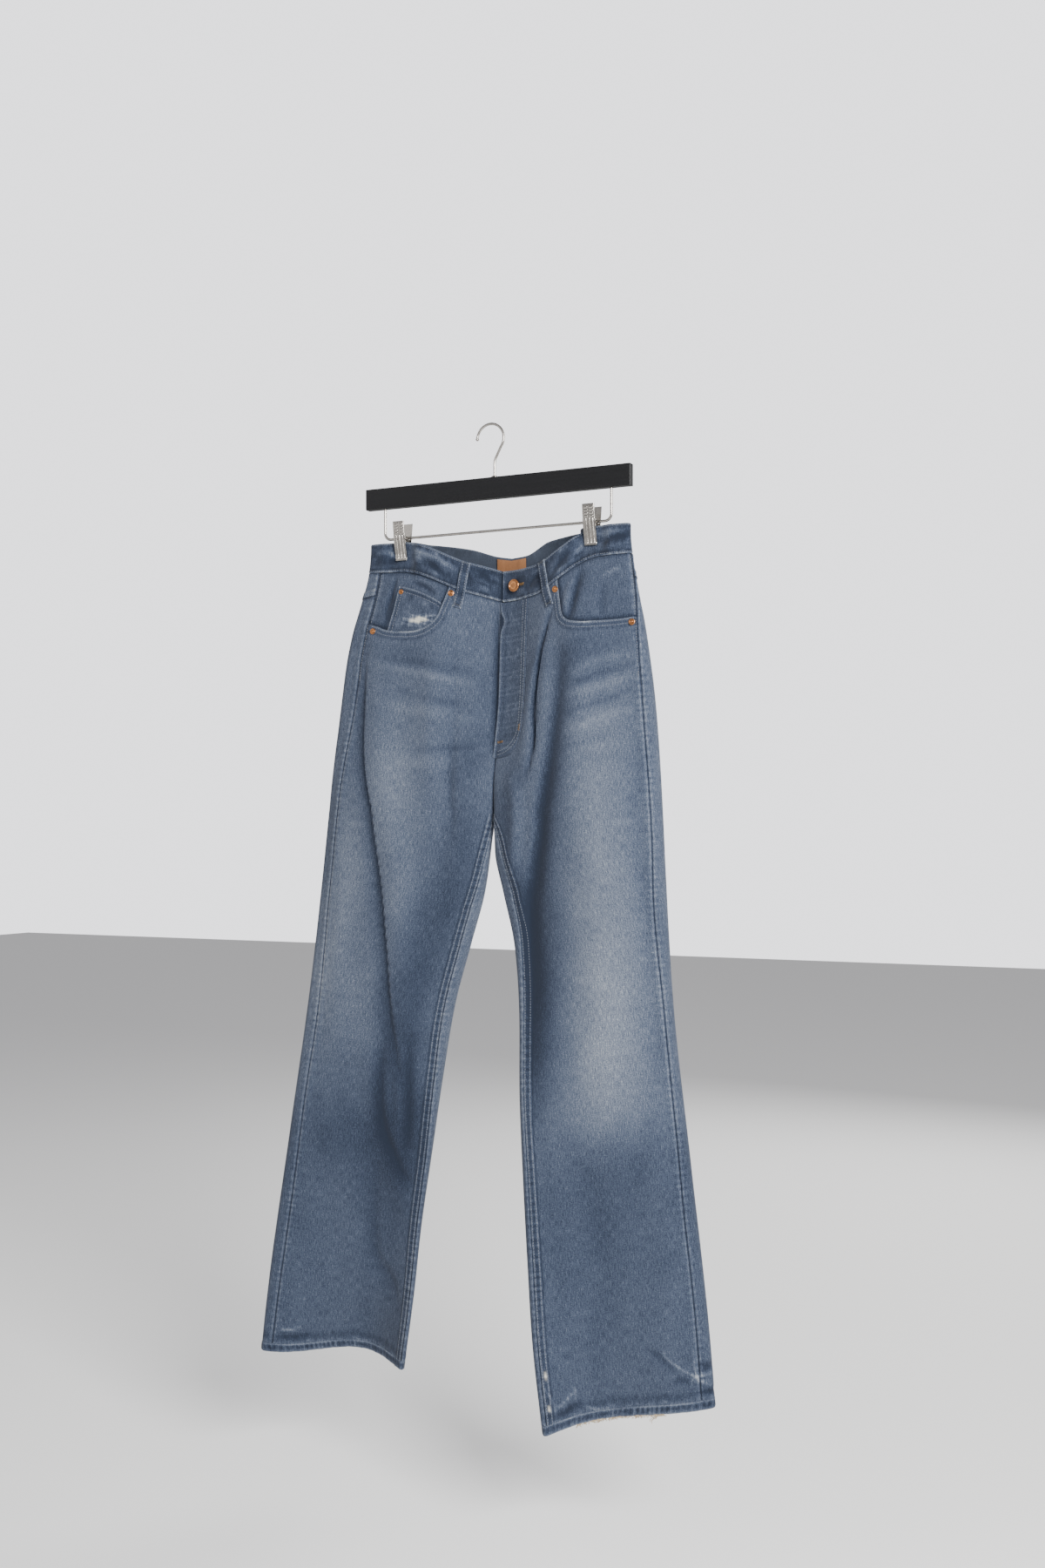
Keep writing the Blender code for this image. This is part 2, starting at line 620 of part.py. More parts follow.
def make_front(side, material, parent):
    """Front leg panel, with the pocket mouth cut out of its top corner."""
    shell = SHELLS[side]
    mouth = MOUTHS[side]
    edge_u = np.array([edge.u for edge in mouth])
    edge_run = np.array([edge.run for edge in mouth])
    edge_u[-1] = shell.side_seam(edge_run[-1])
    span = np.concatenate([[0.0], np.cumsum(np.hypot(np.diff(edge_u) * 0.45, np.diff(edge_run)))])
    places = np.linspace(0.0, span[-1], 12)
    mouth_u, mouth_run = np.interp(places, span, edge_u), np.interp(places, span, edge_run)
    top_u = np.concatenate([np.linspace(0.0, mouth_u[0], 10)[:-1], mouth_u])
    top_run = np.concatenate([np.full(9, BAND_RUN + BAND_SEAM), mouth_run])
    count = len(top_u)
    top_share = (top_u - shell.inseam(top_run)) / (shell.side_seam(top_run) - shell.inseam(top_run))
    level_share = np.linspace(0.0, 1.0, count)
    rows = [top_run + (PANEL_RUNS[0] - top_run) * k / TOP_ROWS for k in range(TOP_ROWS)]
    rows += [np.full(count, run) for run in PANEL_RUNS]
    rows.append(np.full(count, HEM_RUN - HEM_HEIGHT - GAP))
    run = np.array(rows)
    blend = smooth((run - top_run) / 0.16)
    share = top_share + (level_share - top_share) * blend
    u = panel_u(shell, run, share)
    return add_patch("front_" + side, shell, u, run, 0.0, CLOTH, material, parent)


def panel_u(shell, run, share):
    """u at a share of the way from the inseam or centre front to the side seam."""
    seam_gap = 0.25 * GAP / shell.length(run, 0)
    low = shell.inseam(run) + np.where(run > CROTCH_RUN - GAP, 2 * seam_gap, 0.0)
    high = shell.side_seam(run) - seam_gap
    return low + (high - low) * share


def back_u(shell, run, column):
    """u of a back column, from the side seam to the centre back or inseam."""
    seam_gap = 0.25 * GAP / shell.length(run, 0)
    start = shell.side_seam(run) + seam_gap
    end = 1.0 + shell.inseam(run) - np.where(run > CROTCH_RUN - GAP, 2 * seam_gap, 0.0)
    fixed = BACK_COLUMNS[BACK_FIXED - 1]
    stretch = (end - fixed) / (BACK_COLUMNS[-1] - fixed)
    if column == 0:
        return start
    if column == 1:
        return 0.5 * (start + np.maximum(BACK_COLUMNS[2], start + 2 * BACK_STEP))
    if column < BACK_FIXED:
        return np.maximum(BACK_COLUMNS[column], start + column * BACK_STEP)
    return fixed + (BACK_COLUMNS[column] - fixed) * stretch


def yoke_run(shell, run):
    """Runs of the yoke seam for each back column."""
    columns = [back_u(shell, np.array([run]), k)[0] for k in range(len(BACK_COLUMNS))]
    way = (np.array(columns) - columns[0]) / (columns[-1] - columns[0])
    return YOKE_SIDE_RUN + (YOKE_CENTRE_RUN - YOKE_SIDE_RUN) * way


def make_back(side, material, parent):
    """Back leg panel below the yoke."""
    shell = SHELLS[side]
    top = yoke_run(shell, 0.09) + GAP
    mouth_end = MOUTHS[side][-1].run
    side_runs = [0.5 * (top[0] + mouth_end)]
    side_runs += [mouth_end + (PANEL_RUNS[0] - mouth_end) * k / TOP_ROWS for k in range(TOP_ROWS)]
    ways = [0.0] + [(side_run - top[0]) / (PANEL_RUNS[0] - top[0]) for side_run in side_runs]
    rows = [top + (PANEL_RUNS[0] - top) * way for way in ways]
    rows += [np.full(len(BACK_COLUMNS), run) for run in PANEL_RUNS]
    rows.append(np.full(len(BACK_COLUMNS), HEM_RUN - HEM_HEIGHT - GAP))
    run = np.array(rows)
    u = np.stack([back_u(shell, run[:, k], k) for k in range(len(BACK_COLUMNS))], axis=1)
    return add_patch("back_" + side, shell, u, run, 0.0, CLOTH, material, parent)


def make_yoke(side, material, parent):
    """Back yoke between the waistband and the back panel."""
    shell = SHELLS[side]
    low = yoke_run(shell, 0.09)
    top = BAND_RUN + BAND_SEAM
    run = np.array([top + (low - top) * k / 2 for k in range(3)])
    u = np.stack([back_u(shell, run[:, k], k) for k in range(len(BACK_COLUMNS))], axis=1)
    return add_patch("yoke_" + side, shell, u, run, 0.0, CLOTH, material, parent)


def make_hem(side, material, parent):
    """Turned hem, a closed ring round the leg's lower edge."""
    u, run = np.meshgrid(HEM_COLUMNS, [HEM_RUN - HEM_HEIGHT, HEM_RUN])
    return add_patch("hem_" + side, SHELLS[side], u, run, 0.0004, HEM_CLOTH, material, parent, closed=True)


def band_columns():
    """Columns of the waistband: side, u, height of its outer side."""
    right, left = SHELLS["right"], SHELLS["left"]
    per_metre = 0.5 / right.length(0.02, 0)
    columns = [("right", d * per_metre, LAP_UNDER) for d in np.linspace(LAP_LENGTH, 0.0, 5)]
    front = np.linspace(0.0, 0.44, 30)
    turn = [0.460, 0.475, 0.488, 0.500, 0.512, 0.525, 0.540]
    back = np.linspace(0.565, 1.0, 28)
    for u in np.concatenate([front, turn, back]):
        lowered = 1.0 - smooth(u / (LAP_EASE * per_metre))
        columns.append(("left", u, BAND_OUT + (LAP_UNDER - BAND_OUT) * lowered))
    for u in np.concatenate([back[::-1], turn[::-1], front[::-1]]):
        raised = 1.0 - smooth((u / per_metre - LAP_LENGTH) / LAP_EASE)
        columns.append(("right", u, BAND_OUT + (LAP_OVER - BAND_OUT) * raised))
    return columns


def make_band(material, parent):
    """Waistband: one strip round the waist whose right end laps over its left."""
    rows = np.array(BAND_RUNS)
    outer, inner = [], []
    for side, u, out in band_columns():
        outer.append(SHELLS[side].at(u, rows, out))
        inner.append(SHELLS[side].at(u, rows, out - BAND_CLOTH))
    outer, inner = drop_doubles(np.array(outer), np.array(inner))
    return add_slab("waistband", outer.transpose(1, 0, 2), inner.transpose(1, 0, 2), material, parent)


def drop_doubles(outer, inner):
    """Leave out columns that fall on the one before them."""
    keep = [0]
    for k in range(1, len(outer)):
        if np.linalg.norm(outer[k, 0] - outer[keep[-1], 0]) > 0.001:
            keep.append(k)
    return outer[keep], inner[keep]


def make_fly(material, parent):
    """Raised fly facing, lapping a little over the left front."""
    share = np.array([0.0, 0.08, 0.25, 0.45, 0.65, 0.82, 0.93, 1.0])
    distance = -FLY_LAP + (FLY_WIDTH + FLY_LAP) * share
    low = FLY_END_RUN - FLY_CURVE * np.clip(distance / FLY_WIDTH, 0.0, 1.0) ** 5
    way = np.linspace(0.0, 1.0, 11)[:, None]
    run = FLY_TOP_RUN + (low - FLY_TOP_RUN) * way
    distance = np.broadcast_to(distance, run.shape)
    height = FLY_GAP + LAYER_CLOTH
    return add_slab("fly", front_at(distance, run, height), front_at(distance, run, FLY_GAP),
                    material, parent)


def make_facings(material, parent):
    """Denim behind the pocket mouths, and the coin pocket on the left one."""
    deep = {"left": 2 * LAYER_GAP + CLOTH + FACING_CLOTH, "right": LAYER_GAP + CLOTH}
    for side in ("left", "right"):
        shell = SHELLS[side]
        run, share = np.meshgrid(np.linspace(BAND_RUN + BAND_SEAM, FACING_END_RUN, 7),
                                 np.linspace(0.0, 1.0, 13), indexing="ij")
        start, end = FACING_START[side], shell.side_seam(run) - FACING_SEAM
        add_patch("facing_" + side, shell, start + (end - start) * share, run, -deep[side], FACING_CLOTH,
                  material, parent)
    down, share = np.meshgrid(np.linspace(0.0, 1.0, 6), np.linspace(0.0, 1.0, 9), indexing="ij")
    top = COIN_TOP_RUN - COIN_RISE * share ** 0.6
    run = top + (COIN_END_RUN - top) * down
    add_patch("coin_pocket", SHELLS["left"], COIN_START + COIN_SPAN * share, run, -deep["right"], FACING_CLOTH,
              material, parent)


def make_back_pocket(side, material, parent):
    """Patch pocket with a pointed lower edge."""
    shell = SHELLS[side]
    share = np.linspace(0.0, 1.0, 11)
    top = POCKET_TOP_RUN + POCKET_TILT * (1 - share)
    low = top + POCKET_HEIGHT + POCKET_POINT * (1 - np.abs(2 * share - 1))
    way = np.linspace(0.0, 1.0, 8)[:, None]
    run = top + (low - top) * way
    taper = POCKET_TAPER * way
    distance = POCKET_INNER + taper + (POCKET_WIDTH - 2 * taper) * share
    u = 1.0 - 0.5 * distance / shell.length(run, 1)
    return add_patch("back_pocket_" + side, shell, u, run, LAYER_GAP + LAYER_CLOTH, LAYER_CLOTH, material, parent)


def loop_profile(low_run):
    """Runs and inner heights of a belt loop that stands a little off the band."""
    on_band = BAND_OUT + LAYER_GAP
    run = np.array([0.0005, 0.006, 0.014, 0.028, 0.040, low_run - 0.010, low_run])
    inner = np.array([on_band, on_band + 0.5 * LOOP_STAND, on_band + LOOP_STAND, on_band + LOOP_STAND,
                      on_band + 0.7 * LOOP_STAND, LAYER_GAP + 0.0002, LAYER_GAP])
    return run, inner


def make_loops(material, parent):
    """Five belt loops: two in front, three behind."""
    for loop in LOOPS:
        shell = SHELLS[loop.side]
        run, inner = loop_profile(loop.low_run)
        layer = 0 if loop.top_u < 0.5 else 1
        half = 0.25 * LOOP_WIDTH / shell.length(run, layer)
        middle = loop.top_u + (loop.low_u - loop.top_u) * run / loop.low_run
        u = middle[:, None] + half[:, None] * np.array([-1.0, 0.0, 1.0])
        run, inner = np.broadcast_arrays(run[:, None], inner[:, None])
        run = np.broadcast_to(run, u.shape)
        add_patch(loop.name, shell, u, run, inner + LOOP_CLOTH, LOOP_CLOTH, material, parent)
    run, inner = loop_profile(CENTRE_LOOP_RUN)
    distance = np.broadcast_to(np.array([-0.5, 0.0, 0.5]) * LOOP_WIDTH, (len(run), 3))
    run, inner = run[:, None], inner[:, None]
    add_slab("loop_back_centre", back_at(distance, run, inner + LOOP_CLOTH), back_at(distance, run, inner),
             material, parent)


def make_label(material, parent):
    """Plain leather label on the inner side of the back waistband."""
    distance, run = np.meshgrid(LABEL_WIDTH * np.linspace(-0.5, 0.5, 7), np.linspace(*LABEL_RUNS, 4))
    top = BAND_OUT - BAND_CLOTH - LAYER_GAP
    add_slab("label", back_at(distance, run, top), back_at(distance, run, top - LABEL_CLOTH), material, parent)


def add_turned(name, profile, segments, material, parent, place, normal):
    """A closed turned solid from (radius, height) rows, standing on a point."""
    vertices = [(0.0, 0.0, profile[0][1])]
    for radius, height in profile:
        for k in range(segments):
            angle = 2 * math.pi * k / segments
            vertices.append((radius * math.cos(angle), radius * math.sin(angle), height))
    vertices.append((0.0, 0.0, profile[-1][1]))
    last = len(vertices) - 1
    faces = []
    for k in range(segments):
        j = (k + 1) % segments
        faces.append((0, 1 + j, 1 + k))
        for ring_index in range(len(profile) - 1):
            a = 1 + ring_index * segments
            faces.append((a + k, a + j, a + segments + j, a + segments + k))
        a = 1 + (len(profile) - 1) * segments
        faces.append((last, a + k, a + j))
    obj = add_object(name, vertices, faces, material, parent)
    obj.location = place
    obj.rotation_mode = "QUATERNION"
    obj.rotation_quaternion = Vector([float(n) for n in normal]).to_track_quat("Z", "Y")
    return obj


def make_metal(copper, parent):
    """Waist button and pocket rivets."""
    for number, row in enumerate(RIVETS, 1):
        shell = SHELLS[row.side]
        base = shell.at(row.u, row.run, 0.0)
        normal = shell.at(row.u, row.run, 1.0) - base
        section = [(RIVET_RADIUS * row.size * part.share, part.height) for part in RIVET_SECTION]
        base = base + normal * (LAYER_GAP - row.depth)
        add_turned("rivet_%d" % number, section, 16, copper, parent, base, normal)
    section = [(BUTTON_RADIUS * part.share, part.height) for part in BUTTON_SECTION]
    base = SHELLS["right"].at(BUTTON_U, BUTTON_RUN, 0.0)
    normal = SHELLS["right"].at(BUTTON_U, BUTTON_RUN, 1.0) - base
    add_turned("waist_button", section, 24, copper, parent, base + normal * (LAP_OVER + GAP), normal)


def add_wire(name, points, radius, material, parent, end_radius=1.0):
    """A round wire along points, its first end thickened when asked."""
    curve = bpy.data.curves.new(name, "CURVE")
    curve.dimensions = "3D"
    curve.bevel_depth = radius
    curve.bevel_resolution = 2
    curve.use_fill_caps = True
    spline = curve.splines.new("POLY")
    spline.points.add(len(points) - 1)
    for k, point in enumerate(points):
        spline.points[k].co = (*point, 1.0)
        spline.points[k].radius = end_radius if k < 2 else 1.0
    curve.materials.append(material)
    obj = bpy.data.objects.new(name, curve)
    obj.parent = parent
    bpy.context.collection.objects.link(obj)
    return obj


def arc(centre_x, centre_z, radius, start, end, count):
    """Points of an arc in the plane of the bar, angles in degrees."""
    angles = np.radians(np.linspace(start, end, count))
    return [(centre_x + radius * math.cos(a), 0.0, centre_z + radius * math.sin(a)) for a in angles]


def make_hanger(black, steel, parent):
    """Bar, hook, lower wire and two clips."""
    half = BAR_LENGTH / 2
    low = BAR_TOP - BAR_HEIGHT
    corners = [(x, y, z) for z in (low, BAR_TOP) for x, y in
               ((-half, -BAR_DEPTH / 2), (half, -BAR_DEPTH / 2), (half, BAR_DEPTH / 2), (-half, BAR_DEPTH / 2))]
    faces = [(3, 2, 1, 0), (4, 5, 6, 7), (0, 1, 5, 4), (1, 2, 6, 5), (2, 3, 7, 6), (3, 0, 4, 7)]
    bar = add_object("hanger_bar", corners, faces, black, parent)
    bevel = bar.modifiers.new("edges", "BEVEL")
    bevel.width = BAR_BEVEL
    bevel.segments = 2
    centre_z = HOOK_WIRE - HOOK_RADIUS
    bend = arc(HOOK_X, centre_z, HOOK_RADIUS, HOOK_START, HOOK_END, 17)
    leave = np.array(bend[-1])
    neck = [tuple(leave + (np.array((0.0, 0.0, STEM_TOP)) - leave) * t) for t in (0.35, 0.7)]
    stem = [(0.0004, 0.0, STEM_TOP - 0.0005), (0.0, 0.0, STEM_TOP - 0.004), (0.0, 0.0, BAR_TOP + GAP)]
    add_wire("hook", bend + neck + stem, HOOK_WIRE, steel, parent, end_radius=HOOK_TIP)
    top = low - GAP
    left_bend = arc(-WIRE_X + WIRE_BEND, WIRE_Z + WIRE_BEND, WIRE_BEND, 180, 270, 5)
    right_bend = arc(WIRE_X - WIRE_BEND, WIRE_Z + WIRE_BEND, WIRE_BEND, 270, 360, 5)
    add_wire("lower_wire", [(-WIRE_X, 0.0, top)] + left_bend + right_bend + [(WIRE_X, 0.0, top)], WIRE,
             steel, parent)
    for side, x in (("left", -CLIP_X), ("right", CLIP_X)):
        make_clip(side, x, steel, parent)


def make_clip(side, x, steel, parent):
    """Two plates splayed at the top and closed on the waistband, with a spring on the wire."""
    for name, sign in (("front", -1.0), ("rear", 1.0)):
        inner = np.array([[(x + w * CLIP_WIDTH, sign * row.y, row.z) for w in (-0.5, 0.5)]
                          for row in CLIP_ROWS])
        outer = inner + np.array((0.0, sign * CLIP_PLATE, 0.0))
        add_slab("clip_%s_%s" % (side, name), outer, inner, steel, parent)
    ring_rows = [(WIRE + GAP, -0.5), (CLIP_SPRING, -0.5), (CLIP_SPRING, 0.5), (WIRE + GAP, 0.5)]
    count = 16
    angles = [2 * math.pi * k / count for k in range(count)]
    vertices = [(x + t * SPRING_LENGTH, r * math.cos(a), WIRE_Z + r * math.sin(a))
                for r, t in ring_rows for a in angles]
    faces = [(i * count + k, i * count + (k + 1) % count, ((i + 1) % 4) * count + (k + 1) % count,
              ((i + 1) % 4) * count + k) for i in range(4) for k in range(count)]
    spring = add_object("clip_%s_spring" % side, vertices, faces, steel, parent)
    if signed_volume(spring.data) < 0:
        spring.data.flip_normals()


def main():
    """Build every piece of the jeans and their hanger."""
    for obj in list(bpy.data.objects):
        bpy.data.objects.remove(obj, do_unlink=True)
    SHELLS["left"] = Shell("left")
    SHELLS["right"] = Shell("right")
    denim = make_material("denim", (0.16, 0.23, 0.34), 0.85, 0.0)
    band = make_material("denim band", (0.13, 0.20, 0.31), 0.85, 0.0)
    hem = make_material("denim hem", (0.20, 0.27, 0.37), 0.88, 0.0)
    leather = make_material("leather", (0.42, 0.20, 0.08), 0.6, 0.0)
    copper = make_material("copper", (0.72, 0.36, 0.20), 0.35, 1.0)
    black = make_material("black paint", (0.012, 0.012, 0.013), 0.4, 0.0)
    steel = make_material("steel", (0.55, 0.54, 0.52), 0.3, 1.0)
    jeans = bpy.data.objects.new("jeans", None)
    hanger = bpy.data.objects.new("hanger", None)
    for empty in (jeans, hanger):
        bpy.context.collection.objects.link(empty)
    for side in ("left", "right"):
        make_front(side, denim, jeans)
        make_back(side, denim, jeans)
        make_yoke(side, denim, jeans)
        make_hem(side, hem, jeans)
        make_back_pocket(side, denim, jeans)
    make_band(band, jeans)
    make_fly(denim, jeans)
    make_facings(denim, jeans)
    make_loops(band, jeans)
    make_label(leather, jeans)
    make_metal(copper, jeans)
    make_hanger(black, steel, hanger)


main()
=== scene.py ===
"""Faded five-pocket jeans on a clip hanger, dressed over the shared part.

Metres, +Z up, in the part's own frame: the hook's inner crown is the origin,
the front faces -Y, and left and right are the viewer's.
"""
import math
from collections import namedtuple

import bpy
import numpy as np
from bpy.props import FloatProperty, FloatVectorProperty, IntProperty, PointerProperty
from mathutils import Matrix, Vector


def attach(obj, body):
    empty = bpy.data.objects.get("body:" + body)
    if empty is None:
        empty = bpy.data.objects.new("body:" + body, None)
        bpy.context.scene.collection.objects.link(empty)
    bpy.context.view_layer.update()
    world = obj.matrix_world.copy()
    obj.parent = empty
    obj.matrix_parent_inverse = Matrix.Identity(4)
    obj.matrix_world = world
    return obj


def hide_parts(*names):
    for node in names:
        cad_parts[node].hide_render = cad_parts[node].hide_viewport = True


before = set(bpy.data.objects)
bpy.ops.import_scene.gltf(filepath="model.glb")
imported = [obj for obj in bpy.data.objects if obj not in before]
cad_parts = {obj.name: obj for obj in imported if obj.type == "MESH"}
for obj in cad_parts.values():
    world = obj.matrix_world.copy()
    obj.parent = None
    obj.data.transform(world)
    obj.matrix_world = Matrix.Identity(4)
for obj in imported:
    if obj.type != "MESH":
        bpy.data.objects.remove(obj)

bl_info = {
    "name": "Jeans on a clip hanger",
    "version": (1, 0, 0),
    "blender": (4, 5, 0),
    "location": "3D View > Sidebar > Jeans",
    "description": "Dresses the plain solids of a pair of hanging jeans in worn denim, stitching and metal",
    "category": "Object",
}

# Cloth
CLOTH = 0.0013
BAND_CLOTH = 0.0018
HEM_CLOTH = 0.0022
LAYER_CLOTH = 0.0010
FACING_CLOTH = 0.0008
GAP = 0.0003
CENTRE_GAP = 0.0002

# Lengths down the side seam from the waist's top edge
BAND_RUN = 0.039
BAND_SEAM = 0.0007
CROTCH_RUN = 0.350
HEM_RUN = 1.100
HEM_HEIGHT = 0.012
HEM_TOP = HEM_RUN - HEM_HEIGHT
HIP_OPEN_RUN = 0.268
SEAT_RUN = 0.180

# Round turn at the inner side of each leg, and how fast the hips rise from the centre
INNER_TURN = 0.007
CENTRE_RISE = 0.095

# Heights of the waistband's outer side: plain, lapping over and lapped under
BAND_OUT = 0.0004
LAP_OVER = 0.0016
LAP_UNDER = -0.0006
LAP_LENGTH = 0.036
LAP_EASE = 0.030

# Fly facing
FLY_WIDTH = 0.043
FLY_LAP = 0.0035
FLY_END_RUN = 0.267
FLY_CURVE = 0.040
FLY_GAP = 0.0009

# Facings behind the pocket mouths, from a u to the side seam, and the coin pocket
FACING_START = {"left": 0.160, "right": 0.212}
FACING_END_RUN = 0.142
COIN_START = 0.200
COIN_SPAN = 0.160
COIN_TOP_RUN = 0.0655
COIN_RISE = 0.008
COIN_END_RUN = 0.138

# Back pockets and yoke
YOKE_SIDE_RUN = 0.069
YOKE_CENTRE_RUN = 0.114
POCKET_INNER = 0.045
POCKET_WIDTH = 0.132
POCKET_TOP_RUN = 0.130
POCKET_HEIGHT = 0.125
POCKET_POINT = 0.018
POCKET_TILT = 0.010
POCKET_TAPER = 0.007
LAYER_GAP = 0.0005

# Belt loops
LOOP_WIDTH = 0.0115
LOOP_CLOTH = 0.0014
LOOP_STAND = 0.0014
CENTRE_LOOP_RUN = 0.060

# Metal
RIVET_RADIUS = 0.0042
BUTTON_RADIUS = 0.0085
BUTTON_U = 0.0475
BUTTON_RUN = 0.0200

# Hanger
BAR_LENGTH = 0.384
BAR_DEPTH = 0.012
BAR_HEIGHT = 0.028
BAR_TOP = -0.069
BAR_BEVEL = 0.0015
HOOK_WIRE = 0.00175
HOOK_RADIUS = 0.01925
HOOK_X = -0.006
HOOK_START = 184
HOOK_END = -38
STEM_TOP = -0.047
WIRE = 0.0018
WIRE_X = 0.165
WIRE_Z = -0.1385
WIRE_BEND = 0.009

# Clips of the hanger
CLIP_X = 0.138
CLIP_WIDTH = 0.017
CLIP_PLATE = 0.0010
CLIP_SPRING = 0.0046
SPRING_LENGTH = 0.011
CLIP_PINCH = 0.0017
CLIP_REACH = 0.025
PINCH_HALF = 0.022
PINCH_FADE = 0.025

# Run over which the levels stop hanging from the clips, and below the crotch turn square to the leg
LEVEL_RUN = 0.20

# How full the legs are between their turns: powers of the depth across the hips and below
HIP_FLATNESS = 2.2
FULLNESS = 0.75

Rivet = namedtuple("Rivet", "side u run size depth")
Loop = namedtuple("Loop", "name side top_u low_u low_run")
Plate = namedtuple("Plate", "y z")


def table(columns, *rows):
    """Rows with named columns, from numbers in thousandths."""
    row_kind = namedtuple("Row", columns)
    return tuple(row_kind(*(value / 1000 for value in row)) for row in rows)


# The outermost line of each side, from the waist to the hem
OUTER_LEFT = table(
    "run x y z turn",
    (0, -186, 0, -144, 4.5), (39, -189.5, 0, -182.5, 6), (80, -201.4, 0, -224.1, 8),
    (118, -214, 0, -262.2, 10), (160, -223.9, 0, -304.2, 11), (220, -233, 0, -364.3, 11),
    (280, -241.5, 0, -424.4, 11), (350, -250.3, 0, -494.5, 10), (450, -261.2, -2, -594.7, 10),
    (600, -277.7, -9, -744.9, 9), (800, -302.9, -23, -945.2, 8), (1000, -330, -33, -1145.5, 7),
    (1100, -342.1, -35, -1245.6, 6))
OUTER_RIGHT = table(
    "run x y z turn",
    (0, 190.5, 0, -144, 4.5), (39, 193, 0, -182, 6), (80, 199.7, 0, -223.7, 8), (118, 208, 0, -261.6, 10),
    (160, 215.1, 0, -303.4, 11), (220, 223, 0, -363.2, 11), (280, 228.2, 0, -423, 11),
    (350, 232.7, 0, -492.7, 10), (450, 237.8, 0, -592.4, 10), (600, 246.8, 2, -741.8, 9),
    (800, 269.1, 5, -941.1, 8), (1000, 291.7, 8, -1140.4, 7), (1100, 300.6, 8, -1240, 6))

# The centre front and centre back lines, from the waist to the crotch
CENTRE = table(
    "run x front_y front_z back_y back_z",
    (0, 7.5, 12, -191, 38, -170), (39, 7, 12, -231, 40, -209), (80, 6.5, 12, -268, 43, -250),
    (160, 6, 10, -340, 46, -330), (250, 3, 6, -422, 44, -420), (310, 1, -4, -474, 36, -474),
    (350, 0, -10, -506.5, 30, -506.5))

# Share of the drop between a clip and the centre at the waist, by the way
# from the centre (0) to the clip (1)
HANG = table(
    "run left_front right_front left_back right_back",
    (0, 1000, 1000, 1000, 1000), (150, 860, 990, 860, 920), (400, 640, 900, 440, 300),
    (550, 450, 680, 270, 170), (700, 250, 420, 140, 80), (870, 80, 120, 30, 20), (1000, 0, 0, 0, 0))

# The innermost line of each leg, from the crotch to the hem
INNER_LEFT = table(
    "run x y z",
    (350, -0.2, 0, -506.5), (400, -6.2, 0, -557.3), (450, -15, 2, -608.2), (520, -37.1, 5, -679.3),
    (600, -62.8, 9, -760.7), (700, -85.4, 16, -862.3), (800, -105.4, 23, -964), (900, -124.9, 29, -1065.7),
    (1000, -139.7, 33, -1167.3), (1100, -156.5, 35, -1269))
INNER_RIGHT = table(
    "run x y z",
    (350, 0.2, 0, -506.5), (400, 2, -1, -557.8), (450, 15, -4, -609.1), (520, 35, -11, -680.9),
    (600, 46.4, -22, -763), (700, 54.4, -38, -865.6), (800, 67.1, -55, -968.2), (900, 80.3, -70, -1070.8),
    (1000, 92.9, -81, -1173.4), (1100, 108.1, -85, -1276))

# Half depths in front of and behind the middle surface
DEPTH = table(
    "run front back",
    (0, 8, 38), (39, 11, 40), (80, 16, 44), (160, 22, 50), (220, 24, 50), (280, 28, 46), (350, 31, 38),
    (450, 29, 33), (600, 24, 28), (800, 20, 24), (1000, 16, 20), (1100, 13, 17))

# How far the side seams and the inseams lie in from the leg's edges, on the front
SIDE_WRAP = table(
    "run left right",
    (0, 24, 0), (40, 24, 0), (70, 28, 2), (96, 31, 6), (120, 34, 11), (180, 37, 17), (270, 36, 20),
    (400, 35, 19), (480, 33, 21), (620, 31, 17), (750, 26, 19), (900, 25, 22), (1100, 20, 22))
INSEAM_WRAP = table(
    "run left right",
    (350, 0, 0), (375, 4, 16), (400, 8, 24), (430, 12, 28), (480, 17, 26), (540, 17, 20), (620, 17, 16),
    (700, 15, 15), (830, 11, 14), (1100, 8, 10))

# How far the middle of each leg is pushed back, and its level lifted
BOW_LEFT = table(
    "run back lift",
    (350, 0, 0), (600, 0, 0), (800, 10, 0), (900, 22, 1), (1000, 38, 3), (1100, 56, 6))
BOW_RIGHT = table(
    "run back lift",
    (350, 0, 0), (700, 0, 0), (900, 8, 0), (1000, 18, 0), (1100, 30, 1))
BOW_SKEW = 0.66

# Pocket mouths from the waistband seam to the side seam
MOUTHS = {
    "left": table(
        "u run", (181, 39.7), (187, 50), (196, 68), (204, 83), (226, 97.5), (266, 108.5), (320, 112.5),
        (361, 112), (390, 108.8), (421, 106)),
    "right": table(
        "u run", (232, 39.7), (235, 52), (238.5, 70), (244, 90), (262, 102), (289, 109), (325, 114),
        (390, 117.2), (430, 118.5), (470, 119)),
}

# Rivets, the smaller one on the coin pocket below the front's surface
RIVETS = (
    Rivet("left", 0.1728, 0.0476, 1.00, 0.0),
    Rivet("left", 0.4040, 0.1145, 1.00, 0.0),
    Rivet("left", 0.3480, 0.0640, 0.85, CLOTH + LAYER_GAP),
    Rivet("right", 0.2245, 0.0521, 1.00, 0.0),
    Rivet("right", 0.4580, 0.1250, 1.00, 0.0),
)

# Profiles of the rivets and the button: share of the radius, and height
RIVET_PROFILE = table(
    "radius height", (960, -0.8), (1000, 0.3), (970, 0.8), (660, 1.2), (480, 0.9), (340, 1.1),
    (300, 2.1), (160, 2.5), (20, 2.4))
BUTTON_PROFILE = table(
    "radius height", (420, -0.4), (440, 1.8), (960, 2.2), (1000, 2.8), (1000, 3.6), (930, 4.4),
    (840, 4.4), (770, 3.7), (720, 3.6), (660, 4), (360, 4.3), (300, 3.9), (200, 3.9), (140, 4.4), (20, 4.5))

